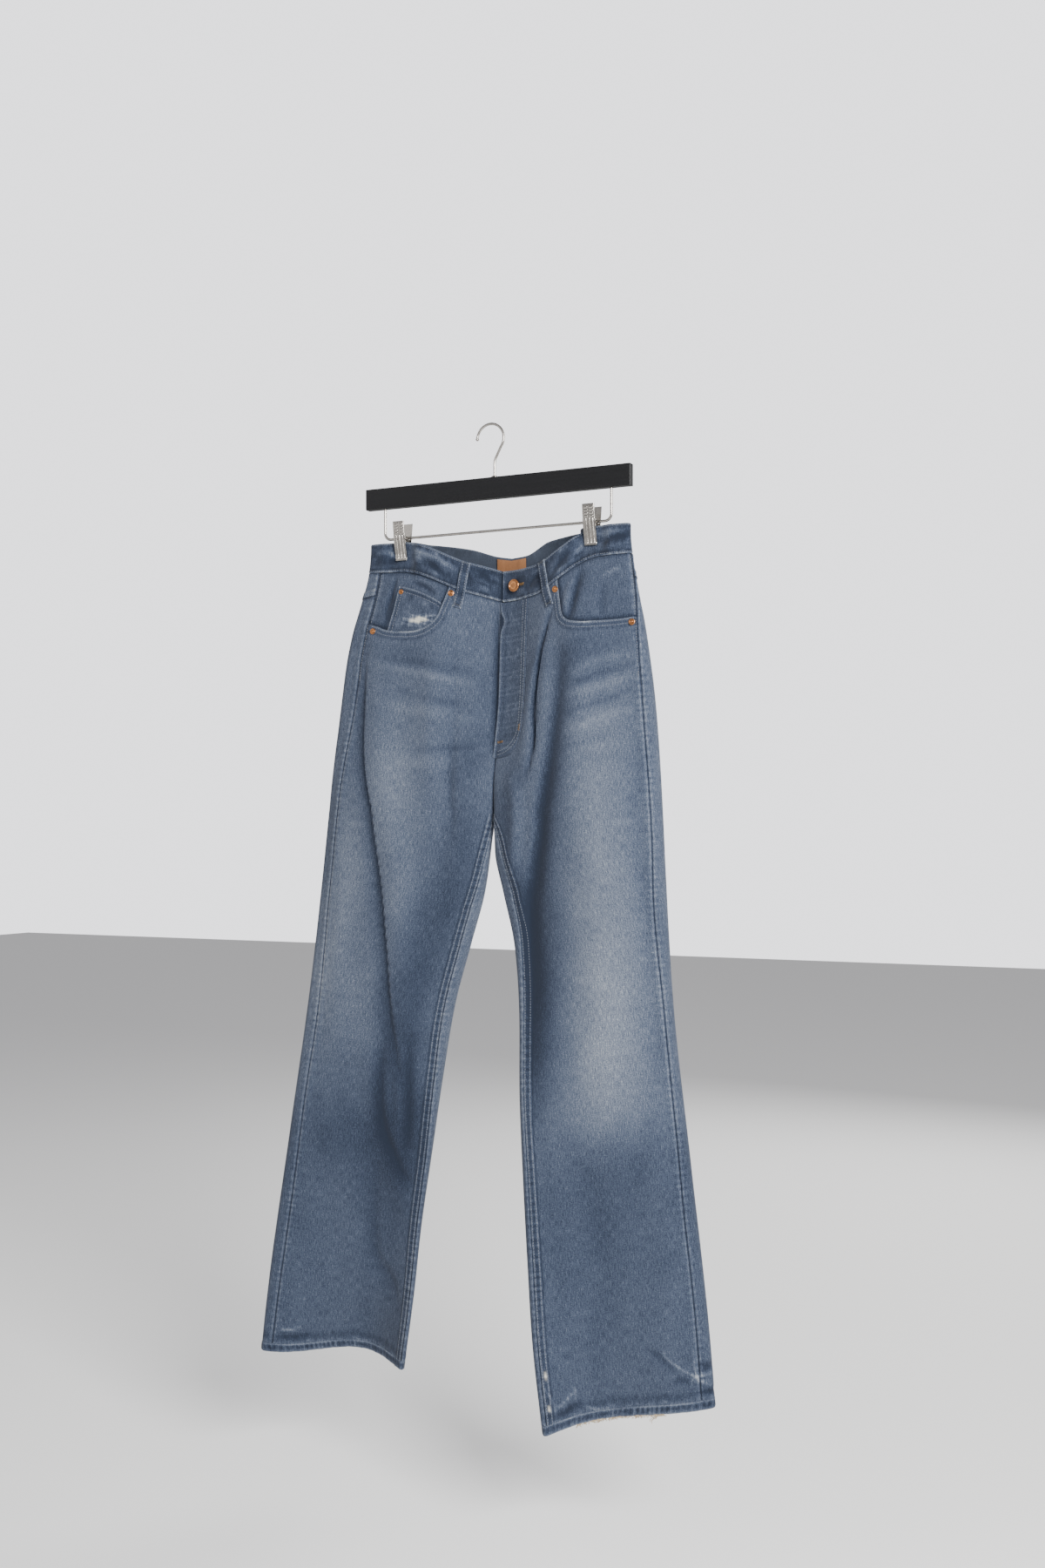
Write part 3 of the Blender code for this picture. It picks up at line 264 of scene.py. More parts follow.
# Inner face of a clip's plate, splayed at the top and closed on the waistband
CLIP_JAW = CLIP_PINCH + BAND_OUT + 2 * GAP
CLIP_ROWS = (Plate(0.0125, -0.1170), Plate(0.0112, -0.1270), Plate(0.0092, WIRE_Z), Plate(0.0066, -0.1500),
             Plate(CLIP_JAW + 0.0011, -0.1600), Plate(CLIP_JAW + 0.0002, -0.1650),
             Plate(CLIP_JAW + 0.0012, -0.1685))

# Belt loops by the u of their upper and lower ends
LOOPS = (
    Loop("loop_front_left", "left", 0.1265, 0.1490, 0.0640),
    Loop("loop_front_right", "right", 0.1598, 0.2010, 0.0700),
    Loop("loop_back_left", "left", 0.7900, 0.7900, 0.0600),
    Loop("loop_back_right", "right", 0.7900, 0.7900, 0.0600),
)

# Level below which the rows of the panels run straight
LEVEL_START = 0.150

# Long soft folds of the solids: across runs from 0 at the centre or inseam to 1 at the side
FOLD_COLUMNS = "run_a across_a run_b across_b half_width height"
FOLDS = {
    ("left", "front"): table(
        FOLD_COLUMNS,
        (90, 840, 420, 620, 26, 5), (340, 620, 800, 140, 26, 5), (200, 270, 460, 220, 14, -3),
        (660, 500, 900, 120, 18, 4)),
    ("right", "front"): table(
        FOLD_COLUMNS,
        (50, 460, 320, 300, 14, -6), (60, 620, 400, 500, 26, 5), (300, 260, 620, 140, 22, -4)),
    ("left", "back"): table(
        FOLD_COLUMNS,
        (280, 300, 550, 620, 24, 5), (400, 700, 900, 400, 26, 4)),
    ("right", "back"): table(
        FOLD_COLUMNS,
        (280, 320, 520, 600, 24, 5), (450, 350, 950, 620, 26, 4)),
}

TABLE_COLUMNS = 361


def smooth(t):
    """Ease from 0 to 1 with level ends."""
    t = np.clip(t, 0.0, 1.0)
    return t * t * (3.0 - 2.0 * t)


def bell(offset, width):
    """A smooth bump of height 1 about 0."""
    return np.exp(-(offset / width) ** 2)


def spot(across, half_across, down, half_down):
    """A smooth round bump of height 1 about 0."""
    return np.exp(-(across / half_across) ** 2 - (down / half_down) ** 2)


def shares(count):
    """Even steps from 0 to 1."""
    return np.linspace(0.0, 1.0, count)


def unit(vectors):
    """The same directions with a length of 1."""
    return vectors / np.linalg.norm(vectors, axis=-1, keepdims=True)


def paired(u, run):
    """Both as numbers in arrays of one shape."""
    return np.broadcast_arrays(np.asarray(u, float), np.asarray(run, float))


def read_rows(rows, column, run):
    """Value of one named column at a run, on a curve without overshoot."""
    knots = np.array([row.run for row in rows])
    values = np.array([getattr(row, column) for row in rows])
    step = np.diff(knots)
    rate = np.diff(values) / step
    slope = np.zeros_like(values)
    slope[0], slope[-1] = rate[0], rate[-1]
    for k in range(1, len(knots) - 1):
        if rate[k - 1] * rate[k] > 0:
            slope[k] = 2.0 * rate[k - 1] * rate[k] / (rate[k - 1] + rate[k])
    run = np.clip(run, knots[0], knots[-1])
    k = np.clip(np.searchsorted(knots, run, side="right") - 1, 0, len(knots) - 2)
    t = (run - knots[k]) / step[k]
    return (values[k] * (1 + 2 * t) * (1 - t) ** 2
            + slope[k] * step[k] * t * (1 - t) ** 2
            + values[k + 1] * t * t * (3 - 2 * t)
            + slope[k + 1] * step[k] * t * t * (t - 1))


def turn_cap(distance, radius):
    """Share of the full depth at a distance from a round turn's end."""
    t = np.clip(distance / radius, 0.0, 1.0)
    return np.sqrt(np.clip(1.0 - (1.0 - t) ** 2, 0.0, 1.0))


def fold_height(side, layer, run, across, width):
    """Outward height of the long folds on one layer."""
    total = np.zeros_like(across)
    for fold in FOLDS[side, layer]:
        t = (run - fold.run_a) / (fold.run_b - fold.run_a)
        if t <= 0.0 or t >= 1.0:
            continue
        path = fold.across_a + (fold.across_b - fold.across_a) * t
        fade = math.sin(math.pi * t) ** 0.7
        total += fold.height * fade * bell((across - path) * width, fold.half_width)
    return total


def ring(side, layer, run, across):
    """Points of one layer along one level, from the centre or inseam to the side."""
    sign = -1.0 if side == "left" else 1.0
    outer_rows = OUTER_LEFT if side == "left" else OUTER_RIGHT
    inner_rows = INNER_LEFT if side == "left" else INNER_RIGHT
    bow_rows = BOW_LEFT if side == "left" else BOW_RIGHT
    outer = [read_rows(outer_rows, name, run) for name in ("x", "y", "z")]
    turn = read_rows(outer_rows, "turn", run)
    front = layer == "front"
    if run <= CROTCH_RUN:
        opened = math.sqrt(1.0 - max(0.0, (run - HIP_OPEN_RUN) / (CROTCH_RUN - HIP_OPEN_RUN)) ** 2)
        inner = [read_rows(CENTRE, "x", run) + sign * CENTRE_GAP, 0.0, read_rows(CENTRE, layer + "_z", run)]
    else:
        opened = 0.0
        inner = [read_rows(inner_rows, name, run) for name in ("x", "y", "z")]
    width = math.hypot(outer[0] - inner[0], outer[1] - inner[1])
    depth = read_rows(DEPTH, layer, run)
    middle = read_rows(CENTRE, layer + "_y", run) * (-1.0 if front else 1.0)
    radius = INNER_TURN + (turn - INNER_TURN) * across
    rise = smooth(across * width / CENTRE_RISE)
    risen = middle + (depth - middle) * rise - radius
    open_body = radius + risen * (1 - across ** HIP_FLATNESS) ** FULLNESS
    closed_body = radius + (depth - radius) * (4 * across * (1 - across)) ** FULLNESS
    body = closed_body + (open_body - closed_body) * (1 - smooth((run - SEAT_RUN) / (CROTCH_RUN - SEAT_RUN)))
    pinch = np.exp(-((inner[0] + sign * across * width - sign * CLIP_X) / PINCH_HALF) ** 6)
    pinch = pinch * (1 - smooth((run - CLIP_REACH) / PINCH_FADE))
    body = body + (CLIP_PINCH - body) * pinch
    inner_cap = np.sqrt(opened ** 2 + (1 - opened ** 2) * turn_cap(across * width, INNER_TURN) ** 2)
    body = body * turn_cap((1 - across) * width, turn) * inner_cap
    body = body + fold_height(side, layer, run, across, width)
    # The levels hang from the clips at the waist and run straight below the hips
    hang = 1 - read_rows(HANG, side + "_" + layer, np.minimum(1.0, across * width / CLIP_X))
    share = hang + (across - hang) * smooth(run / LEVEL_RUN)
    chord_x, chord_y = (outer[0] - inner[0]) / width, (outer[1] - inner[1]) / width
    turned = smooth((run - CROTCH_RUN) / LEVEL_RUN)
    back_x, back_y = -chord_y * turned * sign, 1.0 + (chord_x * sign - 1.0) * turned
    swing = np.sin(math.pi * across ** BOW_SKEW) ** 2
    shift = (-body if front else body) + read_rows(bow_rows, "back", run) * swing
    x = inner[0] + (outer[0] - inner[0]) * across + back_x * shift
    y = inner[1] + (outer[1] - inner[1]) * across + back_y * shift
    z = inner[2] + (outer[2] - inner[2]) * share + read_rows(bow_rows, "lift", run) * swing
    return np.stack([x, y, z], axis=-1)


class Shell:
    """The outer surface of one side of the jeans.

    u runs from the centre front or inseam (0) over the front to the side (0.5)
    and over the back to the centre back or inseam (1). run is the length down
    the side seam.
    """

    def __init__(self, side):
        self.side = side
        self.runs = np.unique(np.concatenate([
            np.linspace(0.0, HIP_OPEN_RUN, 70),
            CROTCH_RUN - (CROTCH_RUN - HIP_OPEN_RUN) * np.linspace(1, 0, 60) ** 2,
            np.linspace(CROTCH_RUN, HEM_RUN, 200)]))
        self.u = np.linspace(0.0, 1.0, TABLE_COLUMNS)
        fine = 0.5 - 0.5 * np.cos(np.linspace(0.0, math.pi, 600))
        half = self.u[: TABLE_COLUMNS // 2 + 1] * 2.0
        points, lengths = [], []
        for run in self.runs:
            halves = []
            for layer in ("front", "back"):
                curve = ring(side, layer, run, fine)
                along = np.concatenate([[0.0], np.cumsum(np.linalg.norm(np.diff(curve, axis=0), axis=1))])
                spread = [np.interp(half * along[-1], along, curve[:, k]) for k in range(3)]
                halves.append(np.stack(spread, axis=-1))
                lengths.append(along[-1])
            points.append(np.concatenate([halves[0], halves[1][-2::-1]]))
        self.points = np.array(points)
        self.lengths = np.array(lengths).reshape(-1, 2)
        self.normals = self.find_normals()

    def find_normals(self):
        """Unit normals pointing out of the cloth."""
        grid = self.points
        closed = self.runs > CROTCH_RUN + 1e-6
        crotch = int(np.argmin(np.abs(self.runs - CROTCH_RUN)))
        along_u = np.gradient(grid, axis=1)
        along_u[closed, 0] = along_u[closed, -1] = (grid[closed, 1] - grid[closed, -2]) / 2
        along_v = np.gradient(grid, self.runs, axis=0)
        normal = np.cross(along_u, along_v)
        if self.side == "right":
            normal = -normal
        normal /= np.linalg.norm(normal, axis=-1, keepdims=True) + 1e-12
        for _ in range(3):
            padded = np.concatenate([normal[:, -2:-1], normal, normal[:, 1:2]], axis=1)
            padded[~closed, 0] = normal[~closed, 0]
            padded[~closed, -1] = normal[~closed, -1]
            normal = padded[:, :-2] + 2 * padded[:, 1:-1] + padded[:, 2:]
            normal[1:-1] = normal[:-2] + 2 * normal[1:-1] + normal[2:]
            normal[~closed, 0, 0] = 0.0
            normal[~closed, -1, 0] = 0.0
            normal[crotch, 0] = normal[crotch, -1] = (0.0, 0.0, -1.0)
            normal /= np.linalg.norm(normal, axis=-1, keepdims=True) + 1e-12
        return normal

    def read(self, field, u, run):
        """Value of a table at u and run, between its rows and columns."""
        u = np.where(u > 1.0, u - 1.0, u)
        column = np.clip(u, 0.0, 1.0) * (TABLE_COLUMNS - 1)
        c = np.clip(column.astype(int), 0, TABLE_COLUMNS - 2)
        fc = (column - c)[..., None]
        r = np.clip(np.searchsorted(self.runs, run, side="right") - 1, 0, len(self.runs) - 2)
        fr = ((run - self.runs[r]) / (self.runs[r + 1] - self.runs[r]))[..., None]
        top = field[r, c] * (1 - fc) + field[r, c + 1] * fc
        low = field[r + 1, c] * (1 - fc) + field[r + 1, c + 1] * fc
        return top * (1 - fr) + low * fr

    def at(self, u, run, out=0.0):
        """Points at a height out from the surface."""
        u, run = paired(u, run)
        normal = unit(self.read(self.normals, u, run))
        return self.read(self.points, u, run) + normal * np.asarray(out)[..., None]

    def length(self, run, layer):
        """Length of one layer's level."""
        return np.interp(run, self.runs, self.lengths[:, layer])

    def side_seam(self, run):
        """u of the side seam, which lies on the front."""
        return 0.5 - 0.5 * read_rows(SIDE_WRAP, self.side, run) / self.length(run, 0)

    def inseam(self, run):
        """u of the inseam, on the front below the crotch."""
        return 0.5 * read_rows(INSEAM_WRAP, self.side, run) / self.length(run, 0)


SHELLS = {"left": Shell("left"), "right": Shell("right")}

Crease = namedtuple("Crease", "half skew height worn path")
Surface = namedtuple("Surface", "height tone bare", defaults=(0.0,))


def creases(*rows):
    """Creases from rows of half, skew, height, worn and a path of (u, run), in thousandths.

    half is sideways, skew widens the flank towards the side seam and worn is
    how much lighter the crease is, darker below 0: partly wear, partly painted light and shade of the fold.
    """
    return [Crease(*(value / 1000 for value in row[:4]), table("u run", *row[4:])) for row in rows]


# Soft creases of the legs: their lighter ridges and whiskers are wear, and their darker valleys partly
# less-worn cloth and partly painted shade
LEG_CREASES = {
    "right": creases(
        # Right front: the sharp fold beside the fly, the rolls next to it and the valley down the thigh, the
        # fold and the valley darkened with painted shadow
        (3, -300, -6.2, -460, (212, 72), (168, 115.5), (142, 168.5), (131, 210), (135, 254), (118.5, 305)),
        (11, 200, 4.2, 50, (228, 85), (196, 125), (172, 180), (163, 235), (150, 300)),
        (9, 0, 2, 20, (190, 120), (130, 150), (105, 220), (100, 290)),
        (11, 450, -6.2, -420, (236, 130), (215, 190), (192, 255), (173, 320), (162, 383), (140, 421),
         (110, 451), (83, 489), (69, 526), (62, 565), (58, 640), (60, 740)),
        (23, 300, -2, -160, (228, 150), (200, 270), (182, 370), (140, 480), (120, 600), (110, 720)),
        (10, 0, 4, 60, (60, 290), (96, 350), (86, 400), (60, 450)),
        (42, 100, 6, 0, (350, 190), (320, 400), (300, 600), (300, 820)),
        (26, 0, -3, -40, (170, 740), (205, 880), (190, 1040)),
        (23, 0, 3, 20, (390, 700), (405, 880), (370, 1050)),
        (12, 0, -1.8, -50, (425, 260), (432, 480), (425, 700)),
        # Right front: whiskers across the hip
        (5.2, 0, 0.5, 130, (250, 173), (340, 163), (452, 163)),
        (4, 0, -0.6, -120, (245, 186), (340, 181), (455, 176)),
        (5.8, 0, 0.6, 130, (235, 202), (340, 196), (450, 190)),
        (5, 0, -0.6, -100, (225, 222), (330, 217), (440, 208)),
        (8.5, 0, 0.6, 100, (215, 246), (320, 240), (440, 226)),
        (5, 0, -0.4, -60, (210, 272), (310, 264), (400, 256)),
        (6, 0, -0.4, -50, (240, 300), (320, 293), (420, 290)),
        # Thin worn creases above the hems
        (1.5, 0, 1, 340, (352, 1024), (398, 1044), (452, 1062)),
        (1.5, 0, 1, 340, (420, 1064), (450, 1058), (505, 1056)),
        (1.3, 0, 0.8, 260, (438, 1022), (440, 1044), (448, 1070)),
        (1.4, 0, 0.8, 280, (424, 1052), (456, 1064), (490, 1074)),
        (5, 0, -1.2, -140, (310, 1016), (352, 1030), (392, 1050)),
        (4.5, 0, -1.4, -300, (452, 1040), (470, 1048), (500, 1046)),
        (3.5, 0, -1.2, -260, (440, 1072), (480, 1079), (510, 1078)),
        (3.5, 0, -1, -220, (380, 1064), (404, 1060), (428, 1066)),
        (1.4, 0, 1.2, 360, (46, 1075), (72, 1070), (90, 1064), (120, 1058)),
        (1.2, 0, 0.6, 220, (110, 1050), (116, 1062), (112, 1074)),
        (1.4, 0, 1, 280, (120, 1078), (154, 1083), (178, 1090), (200, 1088)),
        (3.6, 0, -1.2, -260, (50, 1084), (90, 1079), (130, 1070)),
        (1.4, 0, 0.8, 240, (20, 1040), (42, 1058), (56, 1076)),
        # Back: the seat drapes below the clips, and the thighs fold softly
        (22, 0, 4.2, 20, (700, 150), (790, 220), (850, 320)),
        (17, 200, -3.4, -100, (620, 190), (690, 310), (760, 430)),
        (26, 0, 4.2, 20, (820, 400), (770, 600), (700, 780)),
        (22, 0, -3.2, -80, (620, 520), (640, 700), (660, 900)),
        (6, 0, -1.8, -140, (900, 305), (840, 332), (790, 350)),
        (7.5, 0, 1.4, 120, (900, 330), (830, 360), (770, 380)),
        (26, 0, 3, 0, (740, 800), (690, 930), (640, 1050))),
    "left": creases(
        # Left front: the long diagonal roll with the valley on its left, the valley darkened with painted
        # shade
        (9.5, 900, -5.2, -260, (412, 112), (395, 190), (372, 270), (334, 340), (292, 430), (236, 530),
         (180, 630), (120, 720)),
        (23, 0, 5.2, 0, (352, 112), (330, 220), (290, 330), (240, 430), (180, 540), (120, 650)),
        (20, 0, 4, 0, (440, 260), (420, 400), (390, 560), (350, 700)),
        (8.5, 400, -3.6, -300, (205, 660), (194, 715), (178, 760), (149, 792), (92, 833), (50, 846)),
        (7, 0, -2.6, -200, (120, 640), (110, 702), (98, 750), (90, 800)),
        (12, 400, -2.8, -120, (180, 820), (160, 950), (92, 988), (60, 1030)),
        (6, 0, 2.2, 60, (150, 690), (130, 740), (118, 800)),
        (26, 0, 3, 20, (330, 760), (250, 880), (210, 1040)),
        # Left front: soft upright folds between the pocket and the fly, with painted shadow along the fly's
        # left side
        (7.5, 200, -2.2, -40, (152, 75), (140, 130), (125, 200), (117, 265), (104, 400)),
        (1.8, 0, -0.8, -100, (119, 262), (112, 330), (102, 400)),
        (12, 0, 2.6, 0, (85, 80), (74, 170), (60, 260)),
        (3.6, 600, -3.4, -420, (16, 46), (14, 110), (13, 190), (9, 262)),
        (15, 0, 2.2, 0, (200, 130), (185, 230), (160, 330)),
        # Left front: whiskers across the hip
        (6, 0, -0.5, -100, (60, 150), (200, 148), (370, 146)),
        (5, 0, 0.6, 120, (60, 166), (200, 161), (375, 158)),
        (6, 0, -0.5, -80, (60, 196), (160, 193), (300, 190)),
        (8, 0, 0.6, 90, (60, 216), (200, 211), (360, 206)),
        (5, 0, -0.8, -110, (40, 250), (120, 258), (230, 268)),
        (8, 0, 0.4, 60, (90, 276), (200, 284), (340, 286)),
        # Thin worn creases above the hems
        (1.3, 0, 1, 340, (446, 1066), (410, 1068), (370, 1063)),
        (3.6, 0, -1.1, -200, (450, 1076), (400, 1078), (340, 1073)),
        # Back: the seat drapes below the clips, and the thighs fold softly
        (22, 0, 4.2, 20, (700, 150), (800, 230), (860, 330)),
        (17, 200, -3.4, -100, (640, 200), (700, 310), (800, 420)),
        (26, 0, 4.2, 20, (740, 420), (700, 600), (640, 760)),
        (20, 0, -3.2, -100, (840, 500), (830, 700), (800, 880)),
        (6, 0, -1.8, -140, (900, 300), (850, 328), (800, 345)),
        (7.5, 0, 1.4, 120, (900, 322), (830, 352), (760, 372)),
        (26, 0, 3, 0, (640, 790), (700, 920), (760, 1040))),
}

# Grooves and rolls along the waistband, pulled in by the clips: the grooves darkened with painted shade, the
# rolls lightened with wear
BAND_CREASES = {
    "right": creases(
        (3.6, 0, -1.7, -240, (490, 18), (440, 18), (390, 20), (340, 23)),
        (3.6, 0, 0.7, 300, (480, 9), (420, 10), (360, 9)),
        (3, 0, 0.9, 100, (490, 28), (430, 29), (370, 31)),
        (4.6, 0, -1.5, -160, (345, 18), (290, 16), (240, 20), (190, 27)),
        (3, 0, 0.9, 120, (330, 30), (270, 30), (210, 34)),
        (3.8, 0, -1.2, -140, (150, 12), (120, 20), (90, 30)),
        (3, 0, -0.8, -100, (70, 30), (40, 31), (10, 29))),
    "left": creases(
        (3.4, 0, -1.4, -200, (490, 26.5), (440, 26.2), (390, 24), (330, 20)),
        (4.2, 0, -1.6, -200, (330, 18), (270, 21.5), (226, 24.7), (140, 27.2)),
        (4.4, 0, 0.8, 300, (485, 14.6), (440, 13.5), (400, 12)),
        (4.2, 0, 0.8, 380, (350, 9.5), (300, 10.5), (230, 10.8), (150, 13)),
        (3.2, 0, 0.7, 320, (105, 18), (60, 19.8), (8, 21.5)),
        (2.8, 0, -0.8, -160, (118, 8.5), (70, 7), (24, 5)),
        (3.4, 0, 0.9, 100, (300, 28), (230, 31), (170, 33)),
        (3, 0, 0.9, 100, (110, 28), (60, 29), (20, 27)),
        (3, 0, -1.1, -140, (125, 9), (112, 22), (110, 34))),
}

# Folds of the cloth behind the pocket mouths, toned with painted shade in the folds and painted highlight on
# the ridges
POCKET_CREASES = {
    "right": creases(
        (5.6, 500, -4.4, -300, (322, 44), (292, 70), (262, 104)),
        (5.6, 0, 2, 120, (286, 52), (262, 72), (246, 96)),
        (1.8, 0, 1, 260, (392, 64), (425, 58), (458, 58)),
        (6, 0, -1.4, -120, (395, 72), (380, 90), (375, 112))),
    "left": creases(
        (2.6, 400, -3, -280, (378, 44), (382, 70), (386, 96)),
        (4, 0, -1.4, -340, (372, 60), (372, 84), (372, 116)),
        (2.8, 0, -1.8, -300, (320, 50), (270, 52), (225, 57)),
        (3, 0, 1.2, 100, (320, 44), (270, 45), (225, 48))),
}

# Worn areas, and dark areas that are partly less-worn cloth and partly painted shade: half sizes round and
# down the leg, how far they lean, and how much lighter they are
FADES_AND_SHADE = {
    "right": table(
        "u run half_round half_down tilt amount",
        (330, 400, 48, 130, 0, 160), (295, 590, 46, 110, -40, 250), (280, 700, 50, 60, 0, 140),
        (300, 260, 50, 60, 0, 80), (300, 145, 80, 30, 0, -120), (60, 150, 20, 100, 0, -60),
        (40, 400, 20, 90, 0, -50), (70, 330, 18, 50, 0, -120), (78, 520, 20, 130, 0, -340),
        (470, 500, 14, 300, 0, -50), (380, 780, 60, 40, 0, -60), (250, 860, 110, 80, 0, -50),
        (780, 200, 60, 80, 0, 140), (730, 520, 60, 200, 0, 120), (740, 820, 110, 120, 0, -80)),
    "left": table(
        "u run half_round half_down tilt amount",
        (270, 310, 45, 90, 0, 110), (400, 500, 32, 140, 0, 160), (240, 440, 40, 110, -200, 70),
        (300, 600, 50, 60, 0, 70), (130, 540, 30, 140, -100, -160), (70, 430, 30, 130, 0, -160),
        (170, 640, 30, 90, -100, -170), (240, 770, 90, 60, 0, -150), (110, 790, 40, 100, 0, -200),
        (290, 135, 60, 20, 0, -70), (60, 180, 26, 110, 0, -50), (60, 270, 24, 30, 0, -80),
        (780, 200, 60, 80, 0, 140), (730, 520, 60, 200, 0, 120), (740, 820, 110, 120, 0, -80)),
}

# Tones: 0 is unworn indigo, 1 the palest wear; painted shade lowers the tone as well
PANEL_TONE = 0.44
BAND_TONE = 0.20
HEM_TONE = 0.38
FLY_TONE = 0.30
LINING_TONE = 0.35

# Pale worn places beside the right inseam, by run and half length
INSEAM_HOLES = ((1.0310, 0.0034), (1.0700, 0.0026))

# Grids of the leg panels: length between rows and number of columns
ROW_STEP = 0.0033
FRONT_COLUMNS = 74
BACK_PANEL_COLUMNS = 88

# Distances of the hem's edge and of the two rows of stitches from a pocket mouth
MOUTH_HEM = 0.0075
STITCH_EDGE = 0.0018
TWIN_STITCH = 0.0065


def metric(shell, u, run):
    """Length round the leg from the centre front or inseam to each u."""
    front, back = shell.length(run, 0), shell.length(run, 1)
    over = front + back + 2 * (u - 1) * front
    return np.where(u <= 0.5, 2 * u * front, np.where(u <= 1.0, front + (2 * u - 1) * back, over))


def smooth_path(rows, count):
    """A smooth curve through rows of u and run, evenly spaced, on the cloth."""
    knots = np.array([(row.u, row.run) for row in rows])
    ends = np.concatenate([[2 * knots[0] - knots[1]], knots, [2 * knots[-1] - knots[-2]]])
    fine = []
    for k in range(1, len(ends) - 2):
        t = np.linspace(0.0, 1.0, 24, endpoint=False)[:, None]
        a, b, c, d = ends[k - 1], ends[k], ends[k + 1], ends[k + 2]
        curve = 2 * b + (c - a) * t + (2 * a - 5 * b + 4 * c - d) * t ** 2
        fine.append(0.5 * (curve + (3 * b - a - 3 * c + d) * t ** 3))
    fine = np.concatenate(fine + [knots[-1:]])
    step = np.hypot(np.diff(fine[:, 0]) * 0.45, np.diff(fine[:, 1]))
    span = np.concatenate([[0.0], np.cumsum(step)])
    places = np.linspace(0.0, span[-1], count)
    return np.interp(places, span, fine[:, 0]), np.interp(places, span, fine[:, 1])


def wander(t, seed):
    """A smooth uneven wave between about -1 and 1."""
    a, b, c = 1.7 * seed, 2.9 * seed + 1.0, 0.6 * seed + 2.0
    return 0.5 * np.sin(t + a) + 0.3 * np.sin(2.31 * t + b) + 0.2 * np.sin(4.73 * t + c)


def crease_share(shell, row, around, run):
    """How much each point lies on a crease: 1 on its line, 0 away from it."""
    u, way_run = smooth_path(row.path, 5 + 2 * len(row.path))
    line = np.stack([metric(shell, u, way_run), way_run], axis=-1)
    share = np.zeros(around.shape)
    reach = 3 * row.half
    near = ((around > line[:, 0].min() - reach) & (around < line[:, 0].max() + reach)
            & (run > line[:, 1].min() - reach) & (run < line[:, 1].max() + reach))
    points = np.stack([around[near], run[near]], axis=-1)
    best, along, flank = np.full(len(points), 9.0), np.zeros(len(points)), np.zeros(len(points))
    for k in range(len(line) - 1):
        way = line[k + 1] - line[k]
        t = np.clip((points - line[k]) @ way / (way @ way), 0.0, 1.0)
        off = points - line[k] - t[:, None] * way
        far = np.hypot(*off.T)
        nearer = far < best
        best[nearer], along[nearer] = far[nearer], (k + t[nearer]) / (len(line) - 1)
        flank[nearer] = np.sign(off[nearer, 0] * way[1] - off[nearer, 1] * way[0])
    half = row.half * (1 + row.skew * flank)
    share[near] = np.sin(math.pi * along) ** 0.6 * bell(best, half)
    return share


def creased(rows, side, around, run):
    """Height and tone of one side's creases at each point."""
    height, tone = np.zeros(around.shape), np.zeros(around.shape)
    for row in rows[side]:
        share = crease_share(SHELLS[side], row, around, run)
        height += row.height * share
        tone += row.worn * share
    return height, tone


def relief(side, u, run):
    """Height and tone of the creases, the worn areas and the painted shade at each point."""
    shell = SHELLS[side]
    u, run = paired(u, run)
    around = metric(shell, u, run)
    height, tone = creased(LEG_CREASES, side, around, run)
    # Worn areas lighten the cloth; the dark spots are partly less-worn cloth, partly painted shade
    for row in FADES_AND_SHADE[side]:
        middle = float(metric(shell, np.float64(row.u), row.run))
        across = around - middle - row.tilt * (run - row.run)
        tone += row.amount * spot(across, row.half_round, run - row.run, row.half_down)
    # Darker below the knee
    tone -= 0.10 * smooth((run - 0.72) / 0.10)
    tone += 0.05 * wander(around / 0.021 + 3.0 * run, 2.0) * wander(run / 0.033, 5.0)
    return height, tone


def pucker(run, seed):
    """Uneven drawn-up ridges along a seam, between about -1 and 1."""
    phase = 2 * math.pi * run / 0.0085 + 1.6 * wander(run / 0.017, seed)
    return np.sin(phase) * (0.65 + 0.35 * wander(run / 0.046, seed + 3.0))


def plain_seam(distance, run, seed, strength=1.0):
    """Height and tone beside a pressed seam, by the distance from it."""
    near = bell(distance, 0.0075)
    height = 0.0007 * (1 - smooth((distance - 0.006) / 0.005)) - 0.0010 * bell(distance, 0.0010)
    height = height + 0.00045 * pucker(run, seed) * near
    tone = -0.30 * bell(distance, 0.0010) + 0.20 * bell(distance - 0.0022, 0.0012)
    tone = tone + 0.15 * pucker(run, seed) * near
    return strength * height, strength * tone


def felled_seam(distance, run, seed):
    """Height and tone on the side of a felled seam that carries its two rows of stitches."""
    raised = 1 - smooth((distance - 0.0085) / 0.0012)
    height = 0.0009 * raised + 0.0004 * pucker(run, seed) * bell(distance - 0.004, 0.006)
    tone = -0.30 * bell(distance - 0.0100, 0.0012) - 0.20 * bell(distance - 0.0045, 0.0022)
    tone = tone + 0.24 * bell(distance, 0.0014) + 0.22 * bell(distance - 0.0082, 0.0012)
    return height, tone + 0.18 * pucker(run, seed) * raised


def distance_to(shell, path_u, path_run, u, run):
    """Shortest way on the cloth from each point to a path."""
    flat = np.stack([metric(shell, path_u, path_run), path_run], axis=-1)
    points = np.stack([metric(shell, u, run), run], axis=-1)
    best = np.full(u.shape, 9.0)
    for k in range(len(flat) - 1):
        a, way = flat[k], flat[k + 1] - flat[k]
        t = np.clip(((points - a) @ way) / (way @ way), 0.0, 1.0)
        best = np.minimum(best, np.linalg.norm(points - a - t[..., None] * way, axis=-1))
    return best


